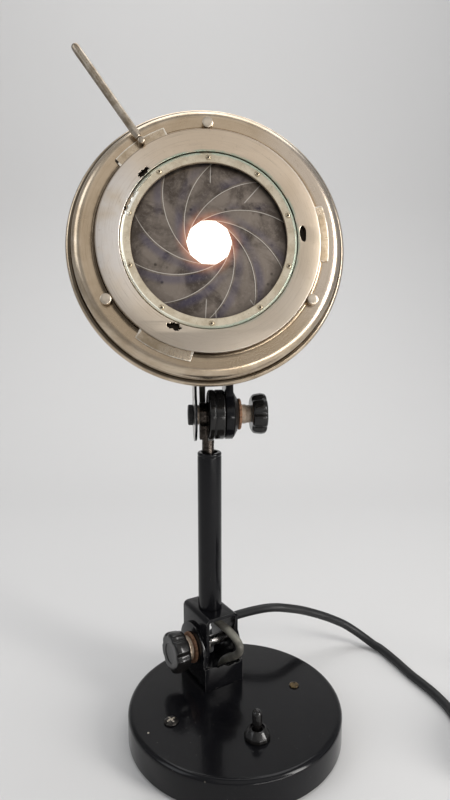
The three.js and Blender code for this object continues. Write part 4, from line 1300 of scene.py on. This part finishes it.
PLATE_LOW = 1.9
SWITCH_LEAN = -11
NUT_SIDES = 10
BOOT_FOOT = (-30, 61, BASE_TOP + 0.3)
BOOT_RINGS = 7


def make_base(paint, dark, fabric, iron):
    shell = [(0, BASE_TOP, 0), *[(r, z, 0) for r, z in arc((76, 20), 4.0, 90, 0, 12)], (80, PLATE_LOW, 0.4),
             (77.5, PLATE_LOW, 0.4), (77.5, 18, 1.5), (75, 21.5, 1.5), (0, 21.5, 0)]
    under = [(0, PLATE_LOW, 0), (77.2, PLATE_LOW, 0.2), (77.2, PLATE_LOW + 1.6, 0.2),
             (0, PLATE_LOW + 1.6, 0)]
    pad = [(0, 0, 0), (78, 0, 0.4), (78, 1.6, 0.5), (0, 1.6, 0)]
    for name, profile, segments, smooth_angle, material, slot, node in (
        ("base_cover", shell, 256, 40, paint, "black_enamel", "base_shell"),
        ("base_underplate", under, 128, 30, dark, "black_metal", "base_plate"),
        ("base_felt", pad, 128, 30, fabric, "felt", "base_pad"),
    ):
        piece = turned(name, rounded(profile, 0.4), WORLD, segments, smooth_angle)
        install(piece, "base", material, slot, node)
    dress("base_weight", iron, 0.6)


def base_screw(name, at, profile, slot_size, slot_height, slot_angles, material, slot, node):
    place = moved(*at, BASE_TOP)
    screw = turned(name, rounded(profile, 0.3), place, 64, 40)
    cut(screw, [block("slot", slot_size, (0, 0, slot_height), place @ spun(angle)) for angle in slot_angles])
    install(screw, "base", material, slot, node)


def make_base_screws(crossed, slotted):
    head = [(0, -5, 0), (2.4, -5, 0), (2.4, 0.3, 0), (5.2, 0.3, 0.3), (5.05, 1.3, 0.5), (3.4, 2.4, 0.8),
            (0, 2.8, 0)]
    base_screw("crossed_screw", (-46, -25), head, (6.4, 1.1, 2), 2.9, (CROSS_ANGLE, CROSS_ANGLE + 90),
               crossed, "steel", "cross_head_screw")
    head = [(0, -5, 0), (1.8, -5, 0), (1.8, 0.3, 0), (3.8, 0.3, 0.2), (3.7, 1.0, 0.3), (3.0, 1.4, 0.5),
            (0, 1.6, 0)]
    base_screw("slot_screw", (46.8, 17), head, (9, 0.9, 1.4), 1.8, (80,), slotted, "brass", "slotted_screw")


def faceted(radius, angle):
    """Ten flats round the switch's nut."""
    if radius > 7:
        half = math.pi / NUT_SIDES
        radius *= math.cos(half) / math.cos((angle + 0.2) % (2 * half) - half)
    return radius


def make_switch(grip, dark):
    dress("switch_body", dark, 0.3)
    nut = [(6.2, 24.3, 0.1), (9.0, 24.3, 0.3), (9.2, 24.8, 0.3), (9.1, 27.0, 0.8), (6.0, 31.4, 0.8),
           (5.1, 31.7, 0.2), (4.9, 30.8, 0.2), (6.2, 30.5, 0.1)]
    at = Matrix.Translation((TOGGLE.x, TOGGLE.y, 0))
    nut = turned("switch_ring_nut", rounded(nut, 0.3), at, 192, 50, faceted)
    install(nut, "base", grip, "bakelite", "switch_nut")
    lever = [*arc((0, 0), 3.2, -90, 46, 10), (2.3, 3.6), (2.6, 5.2), (2.9, 6.4), (3.2, 8.0), (3.35, 10.0),
             (3.45, 12.4), *arc((0, 14.6), 3.5, -8, 90, 14)]
    lean = Matrix.Translation(TOGGLE) @ spun(SWITCH_LEAN, "X")
    lever = turned("switch_toggle_lever", lever, lean, 48, 50)
    install(lever, "switch_lever", grip, "bakelite", "switch_lever")


def make_cord_fittings(rubber_finish, grip):
    """The plug's finish, and the ribbed boot on its skirt, which leans along the cord's first stretch."""
    dress("mains_plug", grip, 0.5)
    foot = Vector(BOOT_FOOT)
    along = Vector(CORD_ROUTE[0]) - foot
    length = along.length - 0.6
    start = 5.4
    step = (length - 0.8 - start) / BOOT_RINGS
    sleeve = [(0.0, start)]
    for i in range(BOOT_RINGS):
        low = start + step * i
        high = low + step
        wide = 6.2 - 1.6 * low / length
        sleeve += [(wide, low), (wide, high - 1.1), (wide - 0.75, high - 0.9), (wide - 0.75, high - 0.3)]
    sleeve += [(4.5, length - 0.4), (4.2, length), (0.0, length)]
    standing = Matrix.Translation(foot * MM)
    leaning = standing @ along.to_track_quat("Z", "Y").to_matrix().to_4x4()
    boot = turned("boot_sleeve", sleeve, leaning, 64, 40)
    skirt = [(0.0, 0.0), (6.4, 0.0), (6.8, 0.4), (6.8, 2.4), (6.4, 2.9), (6.2, 3.4), (6.0, 7.6), (5.4, 9.0),
             (0.0, 9.4)]
    piece = join("cord_boot_moulded", [boot, turned("boot_skirt", skirt, standing, 64, 40)])
    return install(piece, "base", rubber_finish, "cord_rubber", "cord_boot")


def make_cord(rubber_finish):
    points = smooth_path(CORD_ROUTE + coil_points() + TAIL_ROUTE, 900)
    cord = swept("mains_lead", points, CORD_RADIUS, WORLD, sides=20)
    install(cord, "base", rubber_finish, "cord_rubber", "mains_cord", "cord_coil", "cord_tail")


# ---------------------------------------------------------------- the lamp


def make_lamp():
    paint = black_enamel("black_enamel")
    base_paint = black_enamel("base_enamel", chips=[(-61, -36, 24, 0.7), (-20, -77.9, 22.2, 0.9)], dust=0.7)
    grip = bakelite("bakelite")
    dark = black_metal("black_metal")
    stud = stud_nickel("stud_nickel")
    bright = steel("steel")
    yellow = brass("corroded_brass", (0.50, 0.41, 0.32), (0.29, 0.20, 0.135), 0.15)
    rusty = rust("rust")
    rubber_finish = cord_rubber("cord_rubber")
    make_casing(body_nickel("body_nickel"))
    make_cover_plate(plate_nickel("plate_nickel"))
    make_pivot_ring(ring_nickel("ring_nickel"), dark)
    make_drive_ring(lug_nickel("lug_nickel"))
    make_studs(stud)
    make_lever(lever_metal("lever_metal"))
    make_blades()
    make_housing(paint)
    make_light_source(lit_glass("opal_glass", (1.0, 0.95, 0.88), 3.2),
                      lit_glass("bulb_glass", (1.0, 0.86, 0.66), 5.0), ceramic("ceramic"))
    make_upper_joint(paint, grip, bright, yellow, rusty, dark, steel("polished_ear", (0.62, 0.61, 0.6)))
    make_post(paint, steel("worn_rod", (0.055, 0.046, 0.04), (0.014, 0.012, 0.010)))
    make_lower_joint(paint, black_enamel("rubbed_enamel", worn=1.0), grip, bright, yellow, rusty)
    make_leads(lead_insulation("grey_lead"))
    make_base(base_paint, dark, felt("felt"), cast_iron("cast_iron"))
    make_base_screws(crossed_steel("dark_screw"),
                     brass("dark_brass", (0.16, 0.11, 0.05), (0.02, 0.016, 0.012)))
    make_switch(grip, dark)
    boot = make_cord_fittings(rubber_finish, grip)
    make_cord(rubber_finish)


make_camera()
make_stage()
make_lamp()
